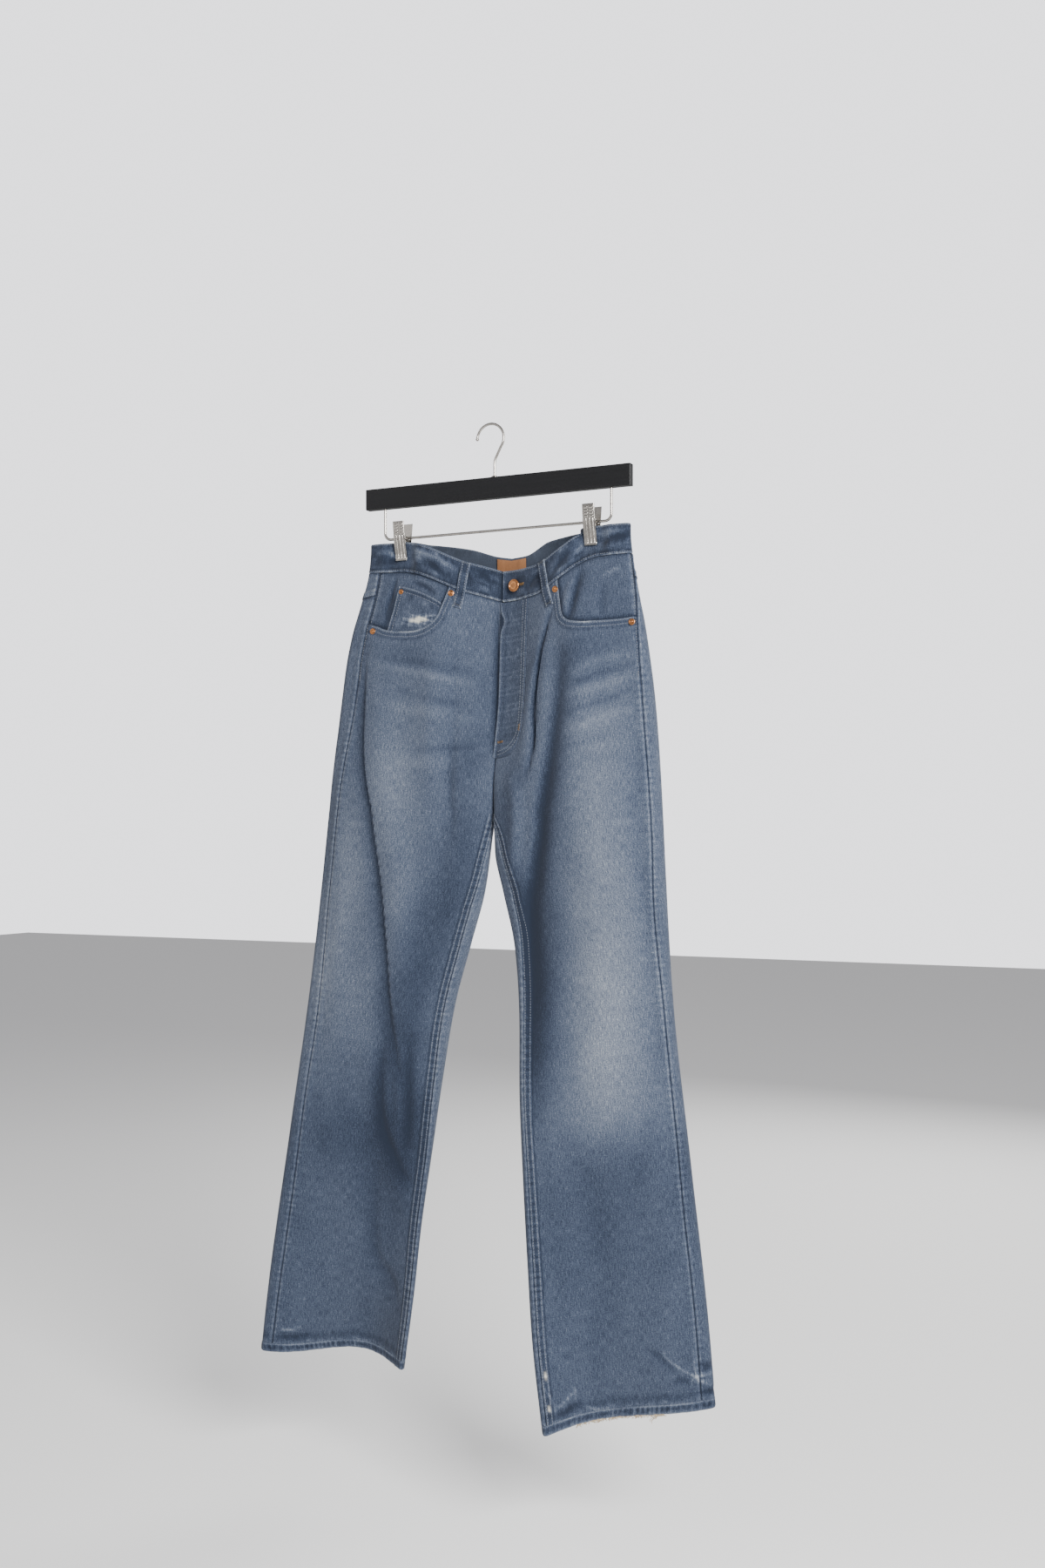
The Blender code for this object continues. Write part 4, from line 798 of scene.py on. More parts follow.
def front_surface(side, u, run):
    """Height, tone and bare threads of a front leg panel."""
    shell = SHELLS[side]
    u, run = paired(u, run)
    height, tone = relief(side, u, run)
    length = shell.length(run, 0)
    seam = np.abs(shell.side_seam(run) - u) * 2 * length
    add, shade = plain_seam(seam, run, 1.0 if side == "left" else 2.0)
    height, tone = height + add, tone + shade
    inner = np.abs(u - shell.inseam(run)) * 2 * length
    below = smooth((run - CROTCH_RUN) / 0.01)
    add, shade = felled_seam(inner, run, 4.0 if side == "left" else 5.0)
    height, tone = height + add * below, tone + shade * below
    rise = 1 - below
    tone = tone - 0.35 * rise * bell(inner, 0.0012)
    mouth_u, mouth_run = smooth_path(MOUTHS[side], 60)
    near = run < 0.16
    mouth = np.full(u.shape, 1.0)
    mouth[near] = distance_to(shell, mouth_u, mouth_run, u[near], run[near])
    height = height + 0.0007 * (1 - smooth((mouth - MOUTH_HEM) / 0.0016))
    height = height + 0.00025 * pucker(metric(shell, u, run) + run, 7.0) * bell(mouth - 0.004, 0.004)
    corner = spot(u - mouth_u[34], 0.030, run - mouth_run[34], 0.012)
    rope = 0.20 + 0.10 * pucker(metric(shell, u, run) + run, 9.0) + 0.35 * corner
    tone = tone + rope * bell(mouth, 0.0013) - 0.14 * bell(mouth - 0.0042, 0.0022)
    tone = tone - 0.13 * bell(mouth - 0.0094, 0.0016)
    band = run - BAND_RUN
    tone = tone - 0.30 * bell(band, 0.0022)
    height = height + hem_pull(shell, u, run)
    tone = tone + hem_wear(shell, u, run)
    bare = np.zeros_like(tone)
    if side == "right":
        for level, size in INSEAM_HOLES:
            bare = bare + 1.1 * spot(inner - 0.0054, 0.0016, run - level, size)
    return Surface(height, PANEL_TONE + tone, bare)


def hem_pull(shell, u, run):
    """Short ripples above a hem, where its stitching draws the cloth up."""
    above = HEM_TOP - run
    around = metric(shell, u, run)
    return 0.0006 * wander(around / 0.0042, 3.0) * bell(above, 0.014)


def hem_wear(shell, u, run):
    """A scalloped light line and a darker strip just above a hem."""
    around = metric(shell, u, run)
    above = HEM_TOP - run - 0.0016 - 0.0012 * wander(around / 0.0050, 4.0)
    light = (0.24 + 0.18 * wander(around / 0.013, 1.0)) * bell(above, 0.0013)
    dashes = 0.08 * wander(around / 0.0022, 2.0)
    return light + (dashes - 0.13) * bell(above - 0.0070, 0.0050)


def back_surface(side, u, run):
    """Height and tone of a back leg panel or yoke."""
    shell = SHELLS[side]
    u, run = paired(u, run)
    height, tone = relief(side, u, run)
    start, front = shell.side_seam(run), 2 * shell.length(run, 0)
    behind = (u - 0.5) * 2 * shell.length(run, 1) + (0.5 - start) * front
    seam = np.where(u < 0.5, (u - start) * front, behind)
    add, shade = plain_seam(np.abs(seam), run, 1.4 if side == "left" else 2.4)
    height, tone = height + add, tone + shade
    whole = metric(shell, 1.0 + shell.inseam(run), run)
    inner = np.abs(whole - metric(shell, u, run))
    below = smooth((run - CROTCH_RUN) / 0.01)
    add, shade = plain_seam(inner, run, 4.4)
    height, tone = height + add * below, tone + shade * below
    add, shade = felled_seam(inner, run, 6.0)
    only = (1 - below) * (1.0 if side == "right" else 0.0)
    height, tone = height + add * only, tone + shade * only
    way = np.clip((u - shell.side_seam(run)) / (1.0 - shell.side_seam(run)), 0.0, 1.0)
    yoke = run - (YOKE_SIDE_RUN + (YOKE_CENTRE_RUN - YOKE_SIDE_RUN) * way)
    raised = (1 - smooth((-yoke - 0.0085) / 0.0012)) * (yoke < 0)
    height = height + 0.0008 * raised
    tone = tone - 0.34 * bell(yoke, 0.0012) + 0.10 * raised
    tone = tone - 0.30 * bell(run - BAND_RUN, 0.0022)
    height = height + hem_pull(shell, u, run)
    tone = tone + hem_wear(shell, u, run)
    return Surface(height, PANEL_TONE + tone)


def band_surface(side, u, run):
    """Height and tone of the waistband."""
    shell = SHELLS[side]
    u, run = paired(u, run)
    height, _ = relief(side, u, run)
    around = metric(shell, u, run)
    low, top = BAND_RUN - run, run
    ripple = pucker(around, 8.0)
    # Crease tones: painted shade in the grooves, wear on the rolls
    add, worn = creased(BAND_CREASES, side, around, run)
    height = 0.4 * height + add + 0.0003 * ripple * (bell(low, 0.006) + bell(top, 0.006))
    height = height + 0.0009 * wander(around / 0.024, 1.0) * np.sin(math.pi * run / BAND_RUN)
    tone = worn + 0.38 * bell(low, 0.0016) + 0.40 * bell(top, 0.0016)
    tone = tone - 0.16 * bell(low - 0.0042, 0.0018)
    blotch = wander(around / 0.031, 4.0) * wander(run / 0.011, 2.0)
    fine = wander(around / 0.0075, 6.0) * wander(run / 0.0045 + around / 0.05, 1.0)
    tone = tone + 0.40 * blotch + 0.40 * fine + 0.14 * ripple * bell(low, 0.005)
    return Surface(height, BAND_TONE + tone)


def hem_surface(side, u, run):
    """Height and tone of a turned hem, twisted like a rope by its stitching."""
    shell = SHELLS[side]
    u, run = paired(u, run)
    around = metric(shell, u, run)
    level = (run - HEM_TOP) / HEM_HEIGHT
    twist = 2 * math.pi * (around / 0.0066 + 0.30 * level) + 4.5 * wander(around / 0.031, 2.0)
    rope = np.sin(twist) * (0.55 + 0.45 * wander(around / 0.037, 6.0))
    height = 0.0005 * rope * np.sin(math.pi * np.clip(level, 0.05, 0.95)) + hem_pull(shell, u, HEM_TOP)
    worn = 0.16 + 0.14 * wander(around / 0.019, 3.0)
    mottle = 0.34 * wander(around / 0.0053, 1.0) * wander(2 * level + around / 0.017, 4.0)
    tone = (0.18 * rope + mottle) * np.sin(math.pi * level) + (worn + 0.10) * bell(1 - level, 0.14)
    tone = tone - 0.20 * bell(level - 0.45, 0.25) + (worn + 0.06) * bell(level - 0.10, 0.09)
    return Surface(height, HEM_TONE + tone)


SURFACES = {"front": front_surface, "back": back_surface, "band": band_surface, "hem": hem_surface}


def facing_out(place, across, run, out):
    """Points placed at a height above a surface, and the normals there."""
    points = place(across, run, out)
    return points, unit(place(across, run, out + 0.001) - points)


def on_cloth(kind, side, u, run, out=0.0):
    """Points on a finished cloth surface and its normals."""
    return facing_out(SHELLS[side].at, u, run, SURFACES[kind](side, u, run).height + out)


class Value:
    """A number socket on which Python's operators add Math nodes."""

    def __init__(self, look, socket):
        self.look = look
        self.socket = socket

    def maths(self, operation, *values, clamp=False):
        """One Math node on these values."""
        settings = {"operation": operation, "use_clamp": clamp}
        node = self.look.add("ShaderNodeMath", settings, dict(enumerate(values)))
        return Value(self.look, node.outputs[0])

    def __add__(self, other):
        return self.maths("ADD", self, other)

    def __sub__(self, other):
        return self.maths("SUBTRACT", self, other)

    def __rsub__(self, other):
        return self.maths("SUBTRACT", other, self)

    def __mul__(self, other):
        return self.maths("MULTIPLY", self, other)

    __radd__ = __add__
    __rmul__ = __mul__

    def held(self):
        """The same value kept between 0 and 1."""
        return self.maths("ADD", self, 0.0, clamp=True)

    def wave(self):
        """The sine of the value."""
        return self.maths("SINE", self)


class Nodes:
    """A node tree under construction."""

    def add(self, kind, settings=None, values=None):
        """One node of a kind, with its settings and its sockets' values or links."""
        node = self.tree.nodes.new(kind)
        for key, value in (settings or {}).items():
            setattr(node, key, value)
        for key, value in (values or {}).items():
            if isinstance(value, Value):
                value = value.socket
            if isinstance(value, bpy.types.NodeSocket):
                self.tree.links.new(value, node.inputs[key])
            else:
                node.inputs[key].default_value = value
        return node

    def out(self, kind, values=None, settings=None, output=0):
        """One output of such a node."""
        return self.add(kind, settings, values).outputs[output]


class Look(Nodes):
    """A material under construction."""

    def __init__(self, name, **constants):
        self.material = bpy.data.materials.new(name)
        self.material.use_nodes = True
        self.tree = self.material.node_tree
        self.shader = self.tree.nodes["Principled BSDF"]
        for key, value in constants.items():
            self.shader.inputs[key.replace("_", " ")].default_value = value

    def ramp(self, share, colours):
        """The colour at a share along these stops."""
        node = self.add("ShaderNodeValToRGB", {}, {"Fac": share})
        while len(node.color_ramp.elements) < len(colours):
            node.color_ramp.elements.new(0.5)
        for element, (position, colour) in zip(node.color_ramp.elements, colours):
            element.position = position
            element.color = opaque(colour)
        return node.outputs["Color"]

    def mix(self, share, first, second):
        """The colour that lies between two by a share."""
        values = {"Factor": share.held(), "A": first, "B": second}
        return self.out("ShaderNodeMix", values, {"data_type": "RGBA"}, "Result")

    def where(self):
        """Places in the piece's own space."""
        return self.out("ShaderNodeTexCoord", output="Object")

    def value(self, node, output=0):
        """An output of a node as a number to calculate with."""
        return Value(self, node.outputs[output])

    def attribute(self, name):
        """A number stored on the piece's points."""
        return self.value(self.add("ShaderNodeAttribute", {"attribute_name": name}), "Fac")

    def scaled(self, vector, sizes):
        """A vector measured in these sizes."""
        values = {0: vector, 1: tuple(1.0 / size for size in sizes)}
        return self.out("ShaderNodeVectorMath", values, {"operation": "MULTIPLY"})

    def noise(self, vector, sizes, detail=2.0):
        """Smooth noise between -1 and 1 whose spots have these sizes."""
        values = {"Vector": self.scaled(vector, sizes), "Scale": 1.0, "Detail": detail}
        return self.value(self.add("ShaderNodeTexNoise", {}, values), "Fac") * 2.0 - 1.0

    def bump(self, height, distance, strength=1.0):
        """Let a height in 0 to 1 raise the surface."""
        values = {"Height": height, "Distance": distance, "Strength": strength}
        self.feed("Normal", self.out("ShaderNodeBump", values))

    def feed(self, name, value):
        """Link a value to the shader."""
        self.tree.links.new(value.socket if isinstance(value, Value) else value, self.shader.inputs[name])


def opaque(colour, share=1.0):
    """A colour, darkened or lightened by a share, for a socket."""
    return (*(share * part for part in colour), 1.0)


MATERIALS = {}
SEWING = {"pale": [], "tan": [], "navy": []}


def denim_look(settings):
    """Worn denim: tone, which holds the wash, the wear and painted shade, picks the colour over slubs, grain
    and blotches.
    """
    look = Look("worn denim", Roughness=0.92, Specular_IOR_Level=0.10, Sheen_Weight=0.08, Sheen_Roughness=0.5)
    uv = look.out("ShaderNodeUVMap", {}, {"uv_map": "cloth"})
    tone, bare, inside = look.attribute("tone"), look.attribute("bare"), look.attribute("inside")
    streak = look.noise(uv, (0.0010, 0.0100, 1.0), 3.0)
    thread = look.noise(uv, (0.0007, 0.0030, 1.0), 1.0)
    grain = look.noise(uv, (0.0012, 0.0012, 1.0), 2.0)
    blotch = look.noise(uv, (0.030, 0.060, 1.0), 2.0)
    speckle = streak * settings.slub + thread * (0.6 * settings.slub) + grain * settings.grain
    wash = tone + speckle + blotch * 0.07
    stops = ((0.00, settings.deep), (0.25, settings.dark), (0.48, settings.middle),
             (0.74, settings.light), (1.00, settings.pale))
    washed = look.ramp(wash.held(), stops)
    parts = look.add("ShaderNodeSeparateXYZ", {}, {0: uv})
    across, along = look.value(parts, "X"), look.value(parts, "Y")
    weft = (along * (2 * math.pi / 0.0012)).wave() * 0.5 + 0.5
    cream = look.mix(weft * 0.5 + grain * 0.3 + 0.25, opaque(settings.cream_shade), opaque(settings.cream))
    worn = look.mix(bare + grain * 0.12 * bare, washed, cream)
    reverse = look.mix(inside * (streak * 0.12 + 0.62), worn, opaque(settings.inner_side))
    look.feed("Base Color", reverse)
    twill = ((across - along) * (2 * math.pi / 0.0013)).wave() * 0.5
    look.bump((twill * 0.35 + streak * 0.40 + grain * 0.35 + 0.5).held(), 0.0005, 0.55)
    return look.material


def thread_look(name, colour):
    """Twisted sewing thread."""
    look = Look(name, Roughness=0.7, Specular_IOR_Level=0.3)
    where = look.where()
    spots = look.noise(where, (0.004, 0.004, 0.004), 2.0)
    look.feed("Base Color", look.mix(spots * 0.6 + 0.5, opaque(colour, 0.62), opaque(colour)))
    return look.material


def metal_look(name, colour, rough, scratch):
    """Metal with fine wear in its gloss."""
    look = Look(name, Metallic=1.0, Specular_IOR_Level=0.5)
    where = look.where()
    fine = look.noise(where, (0.0012, 0.0012, 0.0012), 3.0)
    broad = look.noise(where, (0.006, 0.006, 0.006), 2.0)
    look.feed("Base Color", look.mix(broad * 0.5 + fine * 0.3 + 0.5, opaque(colour, 0.70), opaque(colour)))
    look.feed("Roughness", (fine * scratch + broad * scratch + rough).held())
    return look.material


def paint_look(colour):
    """Black lacquer on the hanger's wooden bar."""
    look = Look("black lacquer", Specular_IOR_Level=0.22)
    where = look.where()
    grain = look.noise(where, (0.060, 0.004, 0.0016), 3.0)
    dust = look.noise(where, (0.0015, 0.0015, 0.0015), 2.0)
    look.feed("Base Color", look.mix(dust * 0.5 + grain * 0.3 + 0.4, opaque(colour), opaque(colour, 1.9)))
    look.feed("Roughness", (grain * 0.06 + dust * 0.05 + 0.46).held())
    look.bump((grain * 0.5 + 0.5).held(), 0.0002, 0.35)
    return look.material


def leather_look(colour):
    """Plain vegetable-tanned leather."""
    look = Look("tan leather", Specular_IOR_Level=0.35)
    where = look.where()
    pores = look.noise(where, (0.0010, 0.0010, 0.0010), 3.0)
    cloud = look.noise(where, (0.010, 0.010, 0.010), 2.0)
    look.feed("Base Color", look.mix(cloud * 0.6 + pores * 0.25 + 0.5, opaque(colour, 0.58), opaque(colour)))
    look.feed("Roughness", (pores * 0.08 + 0.55).held())
    look.bump((pores * 0.5 + 0.5).held(), 0.0003, 0.5)
    return look.material


def add_piece(name, vertices, faces, slot, nodes, sharp=40):
    """One finished piece in place of its plain solids, if it has any."""
    mesh = bpy.data.meshes.new(name)
    mesh.from_pydata(np.asarray(vertices).tolist(), [], faces)
    mesh.materials.append(MATERIALS[slot])
    mesh.shade_smooth()
    mesh.set_sharp_from_angle(angle=math.radians(sharp))
    piece = bpy.data.objects.new(name, mesh)
    bpy.context.collection.objects.link(piece)
    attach(piece, "root")
    if nodes:
        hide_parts(*nodes)
    return piece


def slab_faces(rows, columns, closed):
    """Quads of a closed wall between an outer and an inner grid."""
    spans = columns if closed else columns - 1
    r, c = np.meshgrid(np.arange(rows - 1), np.arange(spans), indexing="ij")
    a = (r * columns + c).ravel()
    b = (r * columns + (c + 1) % columns).ravel()
    shift = rows * columns
    outer = np.stack([a, a + columns, b + columns, b], axis=1)
    inner = np.stack([a, b, b + columns, a + columns], axis=1) + shift
    c = np.arange(spans)
    top, after = c, (c + 1) % columns
    low, low_after = top + (rows - 1) * columns, after + (rows - 1) * columns
    faces = [outer, inner, np.stack([top, after, after + shift, top + shift], axis=1),
             np.stack([low, low + shift, low_after + shift, low_after], axis=1)]
    if not closed:
        left = np.arange(rows - 1) * columns
        right = left + columns - 1
        faces.append(np.stack([left, left + shift, left + shift + columns, left + columns], axis=1))
        faces.append(np.stack([right, right + columns, right + shift + columns, right + shift], axis=1))
    return np.concatenate(faces)


def cloth_piece(node, outer, inner, surface, flat, slot="denim", closed=False):
    """A thin cloth wall in place of a node, which carries its tones and its flat pattern."""
    rows, columns = outer.shape[:2]
    faces = slab_faces(rows, columns, closed)
    vertices = np.concatenate([outer.reshape(-1, 3), inner.reshape(-1, 3)])
    a, b, c, d = vertices[faces].transpose(1, 0, 2)
    if np.sum(a * (np.cross(b, c) + np.cross(c, d))) < 0:
        faces = faces[:, ::-1]
    piece = add_piece("dressed_" + node, vertices, faces.tolist(), slot, [node])
    mesh = piece.data
    fields = {"tone": np.tile(np.broadcast_to(surface.tone, (rows, columns)).ravel(), 2),
              "bare": np.tile(np.broadcast_to(surface.bare, (rows, columns)).ravel(), 2),
              "inside": np.repeat((0.0, 1.0), rows * columns)}
    for key, field in fields.items():
        mesh.attributes.new(key, "FLOAT", "POINT").data.foreach_set("value", field.astype(np.float32))
    corners = np.zeros(len(mesh.loops), np.int32)
    mesh.loops.foreach_get("vertex_index", corners)
    spread = np.stack(np.broadcast_arrays(*flat), axis=-1).reshape(-1, 2)
    spread = np.concatenate([spread, spread])
    mesh.uv_layers.new(name="cloth").data.foreach_set("uv", spread[corners].astype(np.float32).ravel())
    return piece


def lay_cloth(node, kind, side, u, run, thickness, out=0.0, surface=None):
    """The cloth piece of a node, whose outer face is a finished surface on one shell."""
    shell = SHELLS[side]
    surface = surface or SURFACES[kind](side, u, run)
    outer = shell.at(u, run, surface.height + out)
    inner = shell.at(u, run, surface.height + out - thickness)
    return cloth_piece(node, outer, inner, surface, (metric(shell, u, run), run))


def spread_columns(count, ends=0.5):
    """Shares from 0 to 1 that lie closer together at both ends."""
    t = shares(count)
    return t - ends * np.sin(2 * math.pi * t) / (2 * math.pi)


def declare_cut(piece, most=1.0):
    """Work out the area of a cloth piece's outer face, at most a given area; the result is not kept."""
    area = min(sum(polygon.area for polygon in piece.data.polygons) / 2, most)


def panel_rows(top, count):
    """Rows of a leg panel: a few that even out its upper edge, then straight ones down to the hem."""
    low = HEM_TOP - GAP
    upper = top + (LEVEL_START - top) * np.linspace(0.0, 1.0, count, endpoint=False)[:, None]
    levels = np.linspace(LEVEL_START, low, int((low - LEVEL_START) / ROW_STEP))
    return np.concatenate([upper, np.broadcast_to(levels[:, None], (len(levels), len(top)))])


def dress_front(side):
    """One front leg panel with its pocket mouth."""
    shell = SHELLS[side]
    mouth_u, mouth_run = smooth_path(MOUTHS[side], 45)
    mouth_u[-3:] = np.linspace(mouth_u[-4], shell.side_seam(mouth_run[-1]), 4)[1:]
    start = BAND_RUN + BAND_SEAM
    top_u = np.concatenate([np.linspace(0.0, mouth_u[0], FRONT_COLUMNS - 44)[:-1], mouth_u])
    top_run = np.concatenate([np.full(FRONT_COLUMNS - 45, start), mouth_run])
    top_share = (top_u - shell.inseam(top_run)) / (shell.side_seam(top_run) - shell.inseam(top_run))
    level_share = spread_columns(FRONT_COLUMNS)
    run = panel_rows(top_run, 30)
    blend = smooth((run - top_run) / 0.16)
    share = top_share + (level_share - top_share) * blend
    seam_gap = 0.25 * GAP / shell.length(run, 0)
    first = shell.inseam(run) + np.where(run > CROTCH_RUN - GAP, 2 * seam_gap, 0.0)
    u = first + (shell.side_seam(run) - seam_gap - first) * share
    piece = lay_cloth("front_" + side, "front", side, u, run, CLOTH)
    declare_cut(piece)


def dress_back(side):
    """One back leg panel and the yoke above it."""
    shell = SHELLS[side]
    share = spread_columns(BACK_PANEL_COLUMNS)

    def place(run):
        seam_gap = 0.25 * GAP / shell.length(run, 0)
        first = shell.side_seam(run) + seam_gap
        last = 1.0 + shell.inseam(run) - np.where(run > CROTCH_RUN - GAP, 2 * seam_gap, 0.0)
        return first + (last - first) * share

    seam = YOKE_SIDE_RUN + (YOKE_CENTRE_RUN - YOKE_SIDE_RUN) * share
    run = panel_rows(seam + GAP, 22)
    piece = lay_cloth("back_" + side, "back", side, place(run), run, CLOTH)
    declare_cut(piece)
    start = BAND_RUN + BAND_SEAM
    run = start + (seam - start) * shares(26)[:, None]
    yoke = lay_cloth("yoke_" + side, "back", side, place(run), run, CLOTH)
    declare_cut(yoke)


def dress_hem(side):
    """A turned hem with its roping."""
    u = np.linspace(0.0, 1.0, 300, endpoint=False)
    u, run = np.meshgrid(u, np.linspace(HEM_TOP, HEM_RUN, 13))
    surface = hem_surface(side, u, run)
    level = (run - HEM_TOP) / HEM_HEIGHT
    rounding = 0.0008 * (np.clip((level - 0.8) / 0.2, 0, 1) ** 2 + np.clip((0.12 - level) / 0.12, 0, 1) ** 2)
    surface = Surface(surface.height + 0.0004 - rounding, surface.tone)
    shell = SHELLS[side]
    outer = shell.at(u, run, surface.height)
    inner = shell.at(u, run, surface.height - HEM_CLOTH + 2 * rounding)
    flat = (metric(shell, u, run), run)
    piece = cloth_piece("hem_" + side, outer, inner, surface, flat, "denim_hem", True)
    around = float(shell.length(1.095, 0) + shell.length(1.095, 1))
    declare_cut(piece,
                0.99 * around * 0.026)


def dress_band():
    """The waistband strip, its right end lapped over its left."""
    right = SHELLS["right"]
    per_metre = 0.5 / float(right.length(0.02, 0))
    columns = [("right", way * per_metre, LAP_UNDER, False) for way in np.linspace(LAP_LENGTH, 0.0015, 12)]
    front = np.linspace(0.0, 0.44, 86)
    turn = np.linspace(0.445, 0.555, 26)
    back = np.linspace(0.561, 1.0, 84)
    for u in np.concatenate([front, turn, back]):
        columns.append(("left", u, band_lift("left", u), True))
    for u in np.concatenate([back[:-1][::-1], turn[::-1], front[::-1]]):
        columns.append(("right", u, band_lift("right", u), True))
    rows = BAND_RUN * (0.5 - 0.5 * np.cos(math.pi * shares(24)))
    edge = 0.0007 * (bell(rows, 0.0009) + bell(BAND_RUN - rows, 0.0009))
    outer, inner, tones, around = [], [], [], []
    way = 0.0
    for side, u, out, seen in columns:
        shell = SHELLS[side]
        surface = band_surface(side, np.full_like(rows, u), rows)
        from_lap = u / per_metre
        # A light edge along the lapping right end, and painted shadow on the left band beside it
        shade = 0.34 * bell(from_lap, 0.0014) if side == "right" else -0.40 * bell(from_lap, 0.0045)
        height = surface.height * (1.0 if seen else 0.3) + out
        outer.append(shell.at(u, rows, height - edge))
        inner.append(shell.at(u, rows, height - BAND_CLOTH + edge))
        if len(outer) > 1:
            way += float(np.linalg.norm(outer[-1][5] - outer[-2][5]))
        around.append(np.full_like(rows, way))
        tones.append(surface.tone + shade * (u < 0.5))
    surface = Surface(None, np.array(tones).T)
    flat = (np.array(around).T, np.broadcast_to(rows[:, None], surface.tone.shape))
    outer, inner = np.array(outer).transpose(1, 0, 2), np.array(inner).transpose(1, 0, 2)
    piece = cloth_piece("waistband", outer, inner, surface, flat, "denim_band")
    declare_cut(piece, 0.99 * way * 0.080)


def fly_height(distance, run):
    """Height and tone of the raised fly, with the buttons' lumps behind it and painted shadow beside its wavy
    edge.
    """
    height, tone = np.zeros(np.broadcast(distance, run).shape), np.zeros(np.broadcast(distance, run).shape)
    for run_at in (0.078, 0.118, 0.158, 0.200):
        lump = spot(distance - 0.020, 0.0095, run - run_at, 0.0095)
        rim = bell(np.hypot(distance - 0.020, run - run_at) - 0.0085, 0.0016)
        height += 0.0008 * lump
        tone += 0.10 * rim
    for k in range(26):
        run_at = 0.060 + 0.0078 * k
        wave = bell(run - run_at - 0.05 * (distance - 0.02), 0.0018)
        strength = 0.5 + 0.5 * wander(np.float64(1.9 * k), 3.0)
        height += 0.00025 * strength * wave
        tone += 0.15 * strength * wave
    edge = distance + FLY_LAP - 0.0058 * bell(run - 0.068, 0.012)
    outside = 1 - smooth((edge + 0.0008) / 0.0010)
    height -= 0.0006 * outside
    tone += 0.32 * bell(edge - 0.0006, 0.0015) - 0.10 * bell(edge - 0.0075, 0.0025)
    # Painted shadow on the fly's cloth left of its wavy edge
    tone -= 0.62 * outside
    tone += 0.14 * spot(distance - 0.013, 0.0022, run - 0.056, 0.008)
    tone += 0.10 * wander(run / 0.014, 2.0) * wander(distance / 0.010, 5.0)
    return height, tone


def fly_points(distance, run, out):
    """Points on the finished fly, by the distance from the centre line."""
    distance, run, out = np.broadcast_arrays(distance, run, out)
    points = np.zeros(distance.shape + (3,))
    for side, there in (("left", distance < 0), ("right", distance >= 0)):
        shell = SHELLS[side]
        u = 0.5 * np.abs(distance) / shell.length(run, 0)
        height, _ = relief(side, u, run)
        bridge = smooth(np.abs(distance) / 0.012)
        points[there] = shell.at(u, run, out + height * bridge)[there]
    return points


def dress_fly():
    """The raised fly facing."""
    share = shares(34)
    distance = -FLY_LAP + (FLY_WIDTH + FLY_LAP) * share
    low = FLY_END_RUN - FLY_CURVE * np.clip(distance / FLY_WIDTH, 0.0, 1.0) ** 5
    top = BAND_RUN + 0.0015
    run = top + (low - top) * shares(130)[:, None]
    distance = np.broadcast_to(distance, run.shape)
    height, tone = fly_height(distance, run)
    edge = distance + FLY_LAP
    end = low - run
    other = FLY_WIDTH - distance
    thin = 1 - 0.75 * (1 - smooth(np.minimum(other, end) / 0.003))
    rounding = 0.0005 * bell(edge, 0.0006)
    top_height = FLY_GAP + LAYER_CLOTH * thin + height - rounding
    surface = Surface(top_height, FLY_TONE + tone)
    outer = fly_points(distance, run, top_height)
    inner = fly_points(distance, run, np.full_like(run, 0.45 * FLY_GAP))
    piece = cloth_piece("fly", outer, inner, surface, (distance, run))
    declare_cut(piece, 0.0119)


DEEP = CLOTH + LAYER_GAP
LINING_LEVELS = {"left": -DEEP - FACING_CLOTH - LAYER_GAP, "right": -DEEP}


